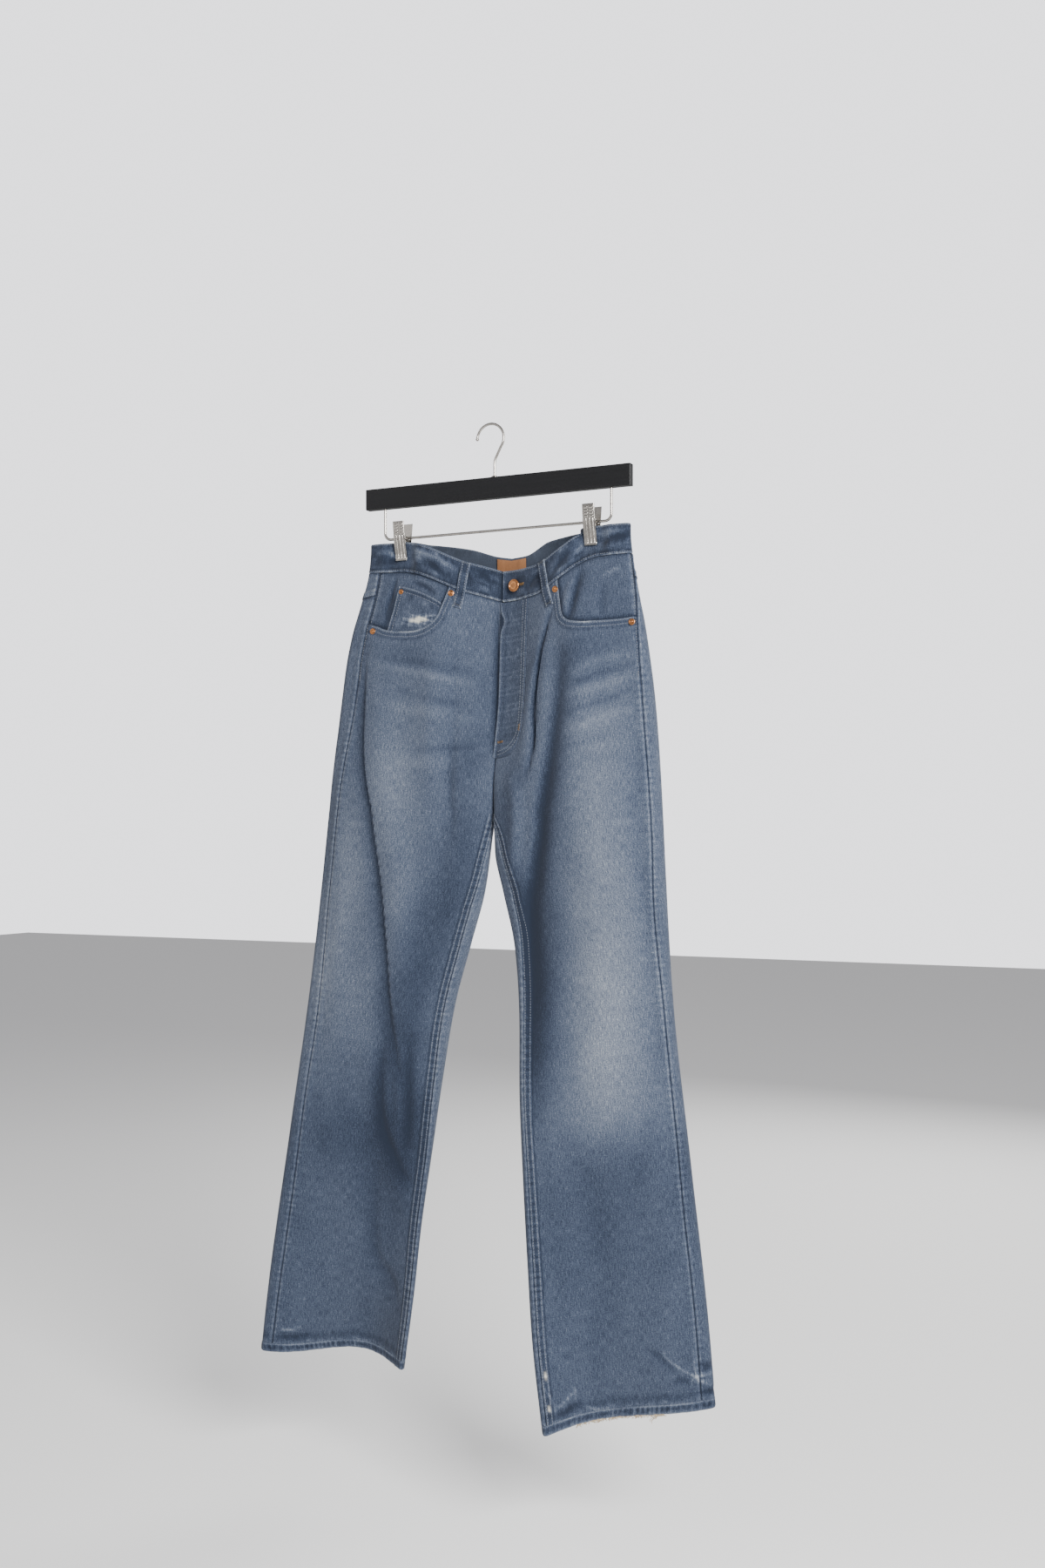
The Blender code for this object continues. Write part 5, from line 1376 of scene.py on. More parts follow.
def dress_linings():
    """The facings behind the pocket mouths and the coin pocket."""
    for side, out in LINING_LEVELS.items():
        shell = SHELLS[side]
        runs = np.concatenate([np.linspace(BAND_RUN - 0.0060, BAND_RUN + 0.0030, 8),
                               np.linspace(BAND_RUN + 0.0060, FACING_END_RUN, 34)])
        run, share = np.meshgrid(runs, shares(46), indexing="ij")
        start = FACING_START[side]
        u = start + (shell.side_seam(run) + 0.008 - start) * share
        height, tone = relief(side, u, run)
        # The top tucks in behind the waistband
        behind = band_surface(side, u, np.minimum(run, BAND_RUN)).height
        behind = behind + BAND_OUT - BAND_CLOTH - 0.0005 - out
        tucked = 1 - smooth((run - BAND_RUN + 0.0005) / 0.0035)
        height = height + (np.minimum(behind, 0.0006) - height) * tucked
        # The folds' tones are painted shade in the folds and painted highlight on the ridges
        add, worn = creased(POCKET_CREASES, side, metric(shell, u, run), run)
        height, tone = height + add, tone + worn
        mouth_u, mouth_run = smooth_path(MOUTHS[side], 60)
        near = distance_to(shell, mouth_u, mouth_run, u, run)
        # Painted shade on the facing where it runs under the pocket mouth's edge and under the waistband
        tone = tone - 0.34 * bell(near, 0.004) - 0.20 * bell(run - BAND_RUN, 0.003)
        seam = (shell.side_seam(run) - u) * 2 * shell.length(run, 0)
        tone = tone - 0.34 * bell(seam, 0.0012)
        tone = tone + 0.14 * pucker(run, 3.0) * bell(seam, 0.009) + 0.16 * bell(seam - 0.004, 0.002)
        surface = Surface(height, LINING_TONE + tone)
        piece = lay_cloth("facing_" + side, "front", side, u, run, FACING_CLOTH, out, surface)
        declare_cut(piece, 0.0142)
    way, share = np.meshgrid(shares(90), shares(100), indexing="ij")
    u = COIN_START + COIN_SPAN * share
    top = COIN_TOP_RUN - COIN_RISE * share ** 0.6
    run = top + (COIN_END_RUN - top) * way
    height, tone = relief("left", u, run)
    edge, side_edge = run - top, (COIN_START + COIN_SPAN - u) * 2 * SHELLS["left"].length(run, 0)
    tone = tone + 0.30 * bell(edge, 0.0012) + 0.26 * bell(side_edge, 0.0014)
    tone = tone - 0.18 * bell(edge - 0.004, 0.002) - 0.14 * bell(side_edge - 0.005, 0.002)
    ragged = 0.55 * wander(u / 0.0040 + 40 * run, 2.0) + 0.55 * wander(run / 0.0011 + 30 * u, 5.0)
    level = run - 0.0947 - 0.097 * (u - 0.270)
    hole = np.exp(-np.clip(((u - 0.266) / 0.024) ** 2 + (level / 0.0032) ** 2 + ragged, 0.0, 9.0) ** 2)
    ring = np.exp(-np.clip(((u - 0.268) / 0.046) ** 2 + (level / 0.0062) ** 2 + 1.5 * ragged, 0.0, 9.0) ** 2)
    # A fold across the coin pocket painted in tone alone: a pale line with painted shadow just below it
    arc = (run - 0.0805 - 0.16 * (u - 0.195)) / 0.0012
    reach = np.exp(-((u - 0.222) / 0.036) ** 4)
    pale = 0.34 * bell(arc, 1.0) * (0.6 + wander(u / 0.0022, 3.0))
    tone = tone + reach * (pale - 0.26 * bell(arc - 2.2, 1.0))
    tone = tone + 0.40 * ring + 0.22 * wander(u / 0.014, 1.0) * wander(run / 0.0055 + 9 * u, 3.0)
    height = height + 0.0004 * bell(edge, 0.008) - 0.0004 * hole
    surface = Surface(height, LINING_TONE + tone, 1.10 * hole * (way > 0.1))
    piece = lay_cloth("coin_pocket", "front", "left", u, run, FACING_CLOTH, -DEEP, surface)
    declare_cut(piece, 0.0066)


def dress_back_pocket(side):
    """A patch pocket on the back."""
    shell = SHELLS[side]
    share = shares(60)
    top = POCKET_TOP_RUN + POCKET_TILT * (1 - share)
    low = top + POCKET_HEIGHT + POCKET_POINT * (1 - np.abs(2 * share - 1))
    way = shares(60)[:, None]
    run = top + (low - top) * way
    taper = POCKET_TAPER * way
    distance = POCKET_INNER + taper + (POCKET_WIDTH - 2 * taper) * share
    u = 1.0 - 0.5 * distance / shell.length(run, 1)
    width = POCKET_WIDTH - 2 * taper
    edge = np.minimum(np.minimum(share * width, (1 - share) * width), low - run)
    head = run - top
    height, tone = relief(side, u, run)
    raised = 0.0005 * (1 - smooth((edge - 0.009) / 0.0015)) + 0.0006 * (1 - smooth((head - 0.013) / 0.0015))
    ripple = pucker(distance + run, 4.0)
    close = bell(edge, 0.006) + bell(head, 0.008)
    tone = tone + 0.28 * bell(np.minimum(edge, head), 0.0014) + 0.14 * ripple * close
    tone = tone - 0.18 * bell(edge - 0.0105, 0.0015) - 0.20 * bell(head - 0.0150, 0.0016)
    tone = tone + 0.12 * spot(share - 0.5, 0.30, way - 0.45, 0.35)
    surface = Surface(height + raised + 0.0002 * ripple * close, PANEL_TONE + tone)
    out = LAYER_GAP + LAYER_CLOTH
    piece = lay_cloth("back_pocket_" + side, "back", side, u, run, LAYER_CLOTH, out, surface)
    declare_cut(piece, 0.0190)


def loop_rise(run, low_run):
    """Inner height of a belt loop along its length."""
    on_band = BAND_OUT + LAYER_GAP
    knots = [0.0005, 0.006, 0.014, 0.028, 0.040, low_run - 0.010, low_run]
    heights = [on_band, on_band + 0.5 * LOOP_STAND, on_band + LOOP_STAND, on_band + LOOP_STAND,
               on_band + 0.7 * LOOP_STAND, LAYER_GAP + 0.0002, LAYER_GAP]
    return np.interp(run, knots, heights)


def dress_loops():
    """Five belt loops, folded from a strip with stitching along both edges."""
    rows = [(loop.name, loop.side, loop.top_u, loop.low_u, loop.low_run) for loop in LOOPS]
    rows.append(("loop_back_centre", None, 1.0, 1.0, CENTRE_LOOP_RUN))
    for name, side, top_u, low_u, low_run in rows:
        run = np.linspace(0.0005, low_run, 44)[:, None]
        across = np.linspace(-0.5, 0.5, 15)
        edge = 0.5 - np.abs(across)
        body = LOOP_CLOTH * (0.55 + 0.45 * np.sqrt(np.clip(edge / 0.16, 0, 1)))
        body = body + 0.00025 * bell(edge - 0.12, 0.06)
        rise = loop_rise(run, low_run)
        seed = 1.0 + len(name) + top_u * 9
        ripple = 0.0002 * wander(run / 0.0045, seed) * bell(edge, 0.2)
        height = rise + body + ripple
        run, height, inner_height = np.broadcast_arrays(run, height, rise + 0 * body)
        tone = 0.52 * bell(edge, 0.10) - 0.10 * bell(edge - 0.22, 0.08) + 0 * run
        tone = tone - 0.22 * bell(low_run - run - 0.0042, 0.0016)
        tone = tone + 0.16 * wander(run / 0.006, seed)
        tone = tone + 0.25 * bell(low_run - run, 0.002) + 0.2 * bell(run, 0.002)
        surface = Surface(height, 0.19 + tone)
        if side:
            shell = SHELLS[side]
            layer = 0 if top_u < 0.5 else 1
            u = top_u + (low_u - top_u) * run / low_run + 0.5 * LOOP_WIDTH * across / shell.length(run, layer)
            outer, inner = shell.at(u, run, height), shell.at(u, run, inner_height)
        else:
            distance = across * LOOP_WIDTH + 0 * run
            outer, inner = centre_points(distance, run, height), centre_points(distance, run, inner_height)
        flat = (across * LOOP_WIDTH + 0 * run, run)
        cloth_piece(name, outer, inner, surface, flat, "denim_band")


def make_outward(piece):
    """Turn a closed piece's faces outwards."""
    mesh = piece.data
    volume = 0.0
    for polygon in mesh.polygons:
        corners = [mesh.vertices[k].co for k in polygon.vertices]
        for k in range(1, len(corners) - 1):
            volume += corners[0].dot(corners[k].cross(corners[k + 1]))
    if volume < 0:
        mesh.flip_normals()


def centre_points(distance, run, out):
    """Points on the back by the distance from the centre line, negative on the left."""
    distance, run, out = np.broadcast_arrays(distance, run, out)
    points = np.zeros(distance.shape + (3,))
    for side, there in (("left", distance < 0), ("right", distance >= 0)):
        shell = SHELLS[side]
        u = 1.0 - 0.5 * np.abs(distance) / shell.length(run, 1)
        points[there] = shell.at(u, run, out)[there]
    return points


def sew(colour, kind, side, u, run, out=0.0001):
    """Keep a row of stitches that lies on a finished cloth surface."""
    SEWING[colour].append(on_cloth(kind, side, u, run, out))


def beside(shell, u, run, offset):
    """A path moved sideways on the cloth, to the right when seen from its start."""
    around = metric(shell, u, run)
    way_s, way_r = np.gradient(around), np.gradient(run)
    length = np.hypot(way_s, way_r)
    around = around - offset * way_r / length
    run = run + offset * way_s / length
    front, back = shell.length(run, 0), shell.length(run, 1)
    u = np.where(around <= front, 0.5 * around / front, 0.5 + 0.5 * (around - front) / back)
    return u, run


def tack(points, normals, width):
    """A bar tack's zigzag across a short line of points."""
    points, normals = np.asarray(points), np.asarray(normals)
    way = np.gradient(points, axis=0)
    across = unit(np.cross(normals, way))
    turns = np.where(np.arange(len(points)) % 2 == 0, 0.5, -0.5)[:, None]
    return points + across * turns * width, normals


TACKS = {"tan": [], "pale": []}
SIDE_ROW_ENDS = {"left": 0.180, "right": 0.195}


def plan_sewing():
    """Every row of stitches and every bar tack on the cloth."""
    for rows in (*SEWING.values(), *TACKS.values()):
        rows.clear()
    for side in ("left", "right"):
        shell = SHELLS[side]
        mouth_u, mouth_run = smooth_path(MOUTHS[side], 60)
        for offset in (STITCH_EDGE, TWIN_STITCH):
            u, run = beside(shell, mouth_u[1:-2], mouth_run[1:-2], offset)
            sew("pale", "front", side, u, run)
        run = np.linspace(mouth_run[-1] + 0.002, SIDE_ROW_ENDS[side] - 0.004, 40)
        sew("pale", "front", side, shell.side_seam(run) - 0.0022 / (2 * shell.length(run, 0)), run)
        run = np.linspace(BAND_RUN + 0.004, mouth_run[-1] - 0.004, 30)
        u = shell.side_seam(run) - 0.0026 / (2 * shell.length(run, 0))
        lay_lining(side, u, run, LINING_LEVELS[side] + 0.0002)
        run = np.linspace(CROTCH_RUN + 0.004, HEM_TOP, 240)
        for offset in (0.0018, 0.0076):
            sew("pale", "front", side, shell.inseam(run) + offset / (2 * shell.length(run, 0)), run)
        share = np.linspace(0.004, 0.996, 80)
        for offset in (0.0018, 0.0072):
            run = YOKE_SIDE_RUN + (YOKE_CENTRE_RUN - YOKE_SIDE_RUN) * share - offset
            sew("pale", "back", side, shell.side_seam(run) + (1.0 - shell.side_seam(run)) * share, run)
        u = shares(260)
        sew("pale", "hem", side, u, HEM_TOP + 0.0016)
        for level in (0.0022, BAND_RUN - 0.0022):
            u = np.linspace(0.008 if side == "right" else 0.004, 1.0, 220)
            sew("pale", "band", side, u, level, 0.0001 + band_lift(side, u))
        sew_back_pocket(side)
    right = SHELLS["right"]
    run = np.linspace(YOKE_CENTRE_RUN + 0.004, CROTCH_RUN - 0.002, 110)
    for offset in (0.0018, 0.0076):
        sew("pale", "back", "right", 1.0 - offset / (2 * right.length(run, 1)), run)
    sew_fly()
    sew_coin_pocket()
    sew_loops()
    u = np.linspace(0.066, 0.084, 19)
    hole = on_cloth("band", "right", u, 0.0195, band_lift("right", u) + 0.0004)
    TACKS["tan"].append(tack(*hole, 0.0034))
    for side, end in SIDE_ROW_ENDS.items():
        shell = SHELLS[side]
        run = np.linspace(end - 0.008, end, 9)
        u = shell.side_seam(run) - 0.003 / (2 * shell.length(run, 0))
        TACKS["pale"].append(tack(*on_cloth("front", side, u, run, 0.0003), 0.002))


def band_lift(side, u):
    """Height of the waistband's outer side beyond its usual one."""
    per_metre = 0.5 / float(SHELLS["right"].length(0.02, 0))
    if side == "left":
        return BAND_OUT + (LAP_UNDER - BAND_OUT) * (1.0 - smooth(u / (LAP_EASE * per_metre)))
    return BAND_OUT + (LAP_OVER - BAND_OUT) * (1.0 - smooth((u / per_metre - LAP_LENGTH) / LAP_EASE))


def sew_back_pocket(side):
    """Twin rows round a back pocket and one under its hem."""
    shell = SHELLS[side]
    lift = LAYER_GAP + LAYER_CLOTH + 0.0003
    for inset in (0.0018, 0.0078):
        way = np.linspace(0.02, 1.0, 40)
        ways = [(np.zeros(40), way), (np.linspace(0.0, 0.5, 24), None),
                (np.linspace(0.5, 1.0, 24), None), (np.ones(40), way[::-1])]
        inners, runs = [], []
        for share, down in ways:
            inner = np.clip(share, inset / POCKET_WIDTH, 1 - inset / POCKET_WIDTH)
            top = POCKET_TOP_RUN + POCKET_TILT * (1 - inner)
            low = top + POCKET_HEIGHT + POCKET_POINT * (1 - np.abs(2 * inner - 1)) - inset
            inners.append(inner)
            runs.append(low if down is None else top + (low - top) * down)
        share, run = np.concatenate(inners), np.concatenate(runs)
        way = (run - POCKET_TOP_RUN) / POCKET_HEIGHT
        distance = POCKET_INNER + POCKET_TAPER * way + (POCKET_WIDTH - 2 * POCKET_TAPER * way) * share
        sew("pale", "back", side, 1.0 - 0.5 * distance / shell.length(run, 1), run, lift)
    share = np.linspace(0.02, 0.98, 40)
    run = POCKET_TOP_RUN + POCKET_TILT * (1 - share) + 0.0125
    distance = POCKET_INNER + POCKET_WIDTH * share
    sew("pale", "back", side, 1.0 - 0.5 * distance / shell.length(run, 1), run, lift)


def sew_fly():
    """The fly's edge row, its J of twin rows and its bar tacks."""
    run = np.linspace(BAND_RUN + 0.004, 0.252, 90)
    SEWING["navy"].append(on_fly(np.full_like(run, 0.0030), run, 0.0001))
    base = FLY_END_RUN - FLY_CURVE - 0.004
    down = np.linspace(BAND_RUN + 0.004, base, 60)
    turn = np.linspace(0.0, math.pi / 2, 24)[1:]
    for inset in (0.0030, 0.0085):
        reach = FLY_WIDTH - inset
        depth = FLY_CURVE + 0.003 - inset
        distance = np.concatenate([np.full_like(down, reach), reach * np.cos(turn)])
        run = np.concatenate([down, base + depth * np.sin(turn) ** 0.8])
        keep = distance > 0.004
        SEWING["pale"].append(on_fly(distance[keep], run[keep], 0.0001))
    for start, end in (((0.002, 0.244), (0.0105, 0.244)), ((0.0385, 0.224), (0.0385, 0.233))):
        distance, run = np.linspace(start, end, 13).T
        TACKS["tan"].append(tack(*on_fly(distance, run, 0.0004), 0.0030))


def on_fly(distance, run, out):
    """Points on the fly's face and its normals."""
    height, _ = fly_height(distance, run)
    return facing_out(fly_points, distance, run, height + FLY_GAP + LAYER_CLOTH + out)


def sew_coin_pocket():
    """Twin rows along the coin pocket's top and one down its side."""
    shell = SHELLS["left"]
    share = np.linspace(0.05, 0.98, 50)
    for offset in (0.0016, 0.0060):
        run = COIN_TOP_RUN - COIN_RISE * share ** 0.6 + offset
        lay_lining("left", COIN_START + COIN_SPAN * share, run, -DEEP + 0.0002)
    run = np.linspace(0.0590, 0.118, 40)
    for offset in (0.0016, 0.0066):
        u = COIN_START + COIN_SPAN - offset / (2 * shell.length(run, 0))
        lay_lining("left", u, run, -DEEP + 0.0002)


def lay_lining(side, u, run, out):
    """Keep a row of stitches on a facing or the coin pocket."""
    height, _ = relief(side, u, run)
    SEWING["pale"].append(facing_out(SHELLS[side].at, u, run, height + out))


def sew_loops():
    """Two rows along each belt loop and a bar tack at each end."""
    for loop in LOOPS:
        shell = SHELLS[loop.side]
        layer = 0 if loop.top_u < 0.5 else 1

        def on_loop(across, run, out):
            u = loop.top_u + (loop.low_u - loop.top_u) * run / loop.low_run
            u = u + 0.5 * LOOP_WIDTH * across / shell.length(run, layer)
            return facing_out(shell.at, u, run, loop_rise(run, loop.low_run) + LOOP_CLOTH + out)

        run = np.linspace(0.002, loop.low_run - 0.002, 30)
        for across in (-0.31, 0.31):
            SEWING["pale"].append(on_loop(across, run, 0.0001))
        across = np.linspace(-0.40, 0.40, 15)
        for level in (0.0022, loop.low_run - 0.0035):
            TACKS["pale"].append(tack(*on_loop(across, np.full_like(across, level), 0.0003), 0.0022))
    run = np.linspace(0.002, CENTRE_LOOP_RUN - 0.002, 30)
    lift = loop_rise(run, CENTRE_LOOP_RUN) + LOOP_CLOTH + 0.0001
    for across in (-0.31, 0.31):
        SEWING["pale"].append(facing_out(centre_points, np.full_like(run, across * LOOP_WIDTH), run, lift))


class Tree(Nodes):
    """A Geometry Nodes tree with named inputs, built in a row."""

    def __init__(self, name, inputs):
        self.tree = bpy.data.node_groups.new(name, "GeometryNodeTree")
        face = self.tree.interface
        face.new_socket("Geometry", in_out="INPUT", socket_type="NodeSocketGeometry")
        self.names = {}
        for label, (kind, value) in inputs.items():
            socket = face.new_socket(label, in_out="INPUT", socket_type=kind)
            if value is not None:
                socket.default_value = value
            self.names[label] = socket.identifier
        face.new_socket("Geometry", in_out="OUTPUT", socket_type="NodeSocketGeometry")
        self.given = self.add("NodeGroupInput").outputs
        self.end = self.add("NodeGroupOutput")

    def finish(self, geometry):
        """End the tree in plain geometry with its material."""
        real = self.out("GeometryNodeRealizeInstances", {"Geometry": geometry})
        dyed = self.out("GeometryNodeSetMaterial", {"Geometry": real, "Material": self.given["Thread"]})
        self.tree.links.new(dyed, self.end.inputs[0])
        return self


def stitch_tree():
    """Separate stitches in a row along each path."""
    tree = Tree("Row of stitches", {
        "Pitch": ("NodeSocketFloat", 0.0034), "Thread radius": ("NodeSocketFloat", 0.0003),
        "Unevenness": ("NodeSocketFloat", 0.12), "Seed": ("NodeSocketInt", 3),
        "Thread": ("NodeSocketMaterial", None)})
    pitch, radius = tree.given["Pitch"], tree.given["Thread radius"]
    curve = tree.out("GeometryNodeMeshToCurve", {0: tree.given["Geometry"]})
    rows = tree.out("GeometryNodeResampleCurve", {"Curve": curve, "Length": pitch}, {"mode": "LENGTH"})
    outward = tree.out("GeometryNodeInputNamedAttribute", {"Name": "outward"}, {"data_type": "FLOAT_VECTOR"})
    up = tree.out("FunctionNodeAlignRotationToVector", {"Vector": outward}, {"axis": "Z"})
    along = tree.out("GeometryNodeInputTangent")
    turn = tree.out("FunctionNodeAlignRotationToVector", {"Rotation": up, "Vector": along},
                    {"axis": "X", "pivot_axis": "Z"})
    ball = tree.out("GeometryNodeMeshUVSphere", {"Segments": 6, "Rings": 4, "Radius": 1.0})
    half = tree.out("ShaderNodeMath", {0: pitch, 1: 0.43}, {"operation": "MULTIPLY"})
    low = tree.out("ShaderNodeMath", {0: radius, 1: 0.85}, {"operation": "MULTIPLY"})
    size = tree.out("ShaderNodeCombineXYZ", {0: half, 1: radius, 2: low})
    least = tree.out("ShaderNodeMath", {0: 1.0, 1: tree.given["Unevenness"]}, {"operation": "SUBTRACT"})
    vary = tree.out("FunctionNodeRandomValue", {2: least, 3: 1.0, 8: tree.given["Seed"]},
                    {"data_type": "FLOAT"}, 1)
    grown = tree.out("ShaderNodeVectorMath", {0: size, 3: vary}, {"operation": "SCALE"})
    return tree.finish(tree.out("GeometryNodeInstanceOnPoints", {
        "Points": rows, "Instance": ball, "Rotation": turn, "Scale": grown}))


def thread_tree():
    """A round thread along each path."""
    tree = Tree("Loose threads", {
        "Thread radius": ("NodeSocketFloat", 0.0002), "Sides": ("NodeSocketInt", 5),
        "Thread": ("NodeSocketMaterial", None)})
    curve = tree.out("GeometryNodeMeshToCurve", {0: tree.given["Geometry"]})
    circle = tree.out("GeometryNodeCurvePrimitiveCircle", {
        "Resolution": tree.given["Sides"], "Radius": tree.given["Thread radius"]})
    return tree.finish(tree.out("GeometryNodeCurveToMesh", {
        "Curve": curve, "Profile Curve": circle, "Fill Caps": True}))


def grow(name, paths, tree, inputs):
    """A plain mesh that a tree makes from paths of points and outward directions."""
    mesh = bpy.data.meshes.new(name + "_paths")
    vertices, edges, outward = [], [], []
    for points, normals in paths:
        first = len(vertices)
        vertices += np.asarray(points).tolist()
        outward += np.broadcast_to(normals, np.shape(points)).tolist()
        edges += [(first + k, first + k + 1) for k in range(len(points) - 1)]
    mesh.from_pydata(vertices, edges, [])
    stored = mesh.attributes.new("outward", "FLOAT_VECTOR", "POINT")
    stored.data.foreach_set("vector", np.array(outward, np.float32).ravel())
    guide = bpy.data.objects.new(name + "_paths", mesh)
    bpy.context.collection.objects.link(guide)
    modifier = guide.modifiers.new("grow", "NODES")
    modifier.node_group = tree.tree
    for label, value in inputs.items():
        modifier[tree.names[label]] = value
    bpy.context.view_layer.update()
    solid = bpy.data.meshes.new_from_object(guide.evaluated_get(bpy.context.evaluated_depsgraph_get()))
    guide.modifiers.remove(modifier)
    bpy.data.objects.remove(guide, do_unlink=True)
    solid.name = name
    solid.shade_smooth()
    piece = bpy.data.objects.new(name, solid)
    bpy.context.collection.objects.link(piece)
    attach(piece, "root")
    return piece


def fray(side, u_range, count, longest, seed):
    """Loose threads that hang from a worn hem edge."""
    random = np.random.default_rng(seed)
    shell = SHELLS[side]
    paths = []
    for _ in range(count):
        u = random.uniform(*u_range)
        start, beyond = shell.at(np.array([u, u + 0.004]), HEM_RUN - 0.0006, -0.0006)
        side_way = unit(beyond - start)
        length = longest * random.uniform(0.25, 1.0)
        t = shares(9)
        curl = random.uniform(-1.0, 1.0) * t
        curl = curl + random.uniform(-0.5, 0.5) * np.sin(3.5 * t + random.uniform(0, 6))
        out = random.uniform(-0.5, 0.5) * t ** 2
        down = -t * random.uniform(0.35, 0.9)
        points = start + length * (curl[:, None] * 0.8 * side_way + down[:, None] * np.array((0.0, 0.0, 1.0))
                                   + out[:, None] * np.array((0.0, -1.0, 0.0)))
        paths.append((points, np.array((0.0, -1.0, 0.0))))
    return paths


def ring_faces(rows, sides, first=0):
    """Quads between closed rows of vertices."""
    start = first + sides * np.arange(rows - 1)[:, None]
    k, j = np.arange(sides), (np.arange(sides) + 1) % sides
    quads = np.stack([start + k, start + j, start + sides + j, start + sides + k], axis=-1)
    return quads.reshape(-1, 4).tolist()


def turned_piece(name, profile, segments, slot, nodes, place, normal):
    """A turned piece from rows of radius and height, standing on a point."""
    angles = np.linspace(0.0, 2 * math.pi, segments, endpoint=False)
    rows = [np.stack([r * np.cos(angles), r * np.sin(angles), np.full(segments, h)], axis=-1)
            for r, h in profile]
    local = np.concatenate([[(0.0, 0.0, profile[0][1])], *rows, [(0.0, 0.0, profile[-1][1])]])
    faces = ring_faces(len(profile), segments, 1)
    last = 1 + (len(profile) - 1) * segments
    for k in range(segments):
        j = (k + 1) % segments
        faces += [(0, 1 + j, 1 + k), (len(local) - 1, last + k, last + j)]
    pose = Vector([float(n) for n in normal]).to_track_quat("Z", "Y").to_matrix()
    return add_piece(name, local @ np.array(pose).T + np.asarray(place), faces, slot, nodes, 50)


def rounded(profile, radius=1.0, passes=2):
    """A profile grown to a radius, with its corners eased by cutting them."""
    rows = np.array(profile) * (radius, 1.0)
    for _ in range(passes):
        inner = [rows[0]]
        for a, b in zip(rows[:-1], rows[1:]):
            inner += [a + 0.25 * (b - a), a + 0.75 * (b - a)]
        rows = np.array(inner + [rows[-1]])
    return rows


def dress_metal():
    """The waist button and the pocket rivets."""
    for number, row in enumerate(RIVETS, 1):
        if row.depth:
            height, _ = relief(row.side, row.u, row.run)
        else:
            height = front_surface(row.side, np.array([row.u]), np.array([row.run])).height[0]
        place = SHELLS[row.side].at
        base = place(row.u, row.run, float(height) - row.depth)
        normal = place(row.u, row.run, 1.0) - place(row.u, row.run, 0.0)
        profile = rounded(RIVET_PROFILE, RIVET_RADIUS * row.size)
        turned_piece("dressed_rivet_%d" % number, profile, 28, "copper", ["rivet_%d" % number], base, normal)
    place = SHELLS["right"].at
    base = place(BUTTON_U, BUTTON_RUN, LAP_OVER + GAP)
    normal = place(BUTTON_U, BUTTON_RUN, 1.0) - place(BUTTON_U, BUTTON_RUN, 0.0)
    button = rounded(BUTTON_PROFILE, BUTTON_RADIUS)
    turned_piece("dressed_waist_button", button, 48, "copper", ["waist_button"], base, normal)


def dress_label():
    """The plain leather label inside the back waistband."""
    across, run = np.meshgrid(np.linspace(-0.021, 0.021, 50), np.linspace(0.003, 0.035, 36))
    corner = np.hypot(np.clip(np.abs(across) - 0.019, 0, 1), np.clip(np.abs(run - 0.019) - 0.014, 0, 1))
    wave = 0.0005 * wander(across / 0.008, 2.0)
    top = BAND_OUT - BAND_CLOTH - LAYER_GAP
    inner = centre_points(across, run, top - 0.0012 + 0.0003 * np.clip(corner / 0.002, 0, 1) - np.abs(wave))
    outer = centre_points(across, run, np.full_like(run, top))
    vertices = np.concatenate([outer.reshape(-1, 3), inner.reshape(-1, 3)])
    faces = slab_faces(*run.shape, False)
    make_outward(add_piece("dressed_label", vertices, faces.tolist(), "leather", ["label"]))


def tube(name, points, radius, nodes, sides=16):
    """A round wire along points, of one radius or one for each, with closed ends."""
    points = np.asarray(points, float)
    way = unit(np.gradient(points, axis=0))
    across = np.cross(way[0], (0.0, 1.0, 0.0))
    if np.linalg.norm(across) < 1e-3:
        across = np.cross(way[0], (1.0, 0.0, 0.0))
    rows, across = [], unit(across)
    angles = np.linspace(0.0, 2 * math.pi, sides, endpoint=False)
    for k, (point, size) in enumerate(zip(points, np.broadcast_to(radius, len(points)))):
        across = unit(across - way[k] * (across @ way[k]))
        other = np.cross(way[k], across)
        rows.append(point + size * (np.cos(angles)[:, None] * across + np.sin(angles)[:, None] * other))
    vertices = np.concatenate([*rows, points[:1], points[-1:]])
    faces = ring_faces(len(points), sides)
    last, end = (len(points) - 1) * sides, len(points) * sides
    faces += [(end, (k + 1) % sides, k) for k in range(sides)]
    faces += [(end + 1, last + k, last + (k + 1) % sides) for k in range(sides)]
    make_outward(add_piece(name, vertices, faces, "steel", nodes, 60))


def arc(centre_x, centre_z, radius, start, end, count):
    """Points of an arc in the plane of the bar, angles in degrees."""
    angles = np.radians(np.linspace(start, end, count))
    return [(centre_x + radius * math.cos(a), 0.0, centre_z + radius * math.sin(a)) for a in angles]


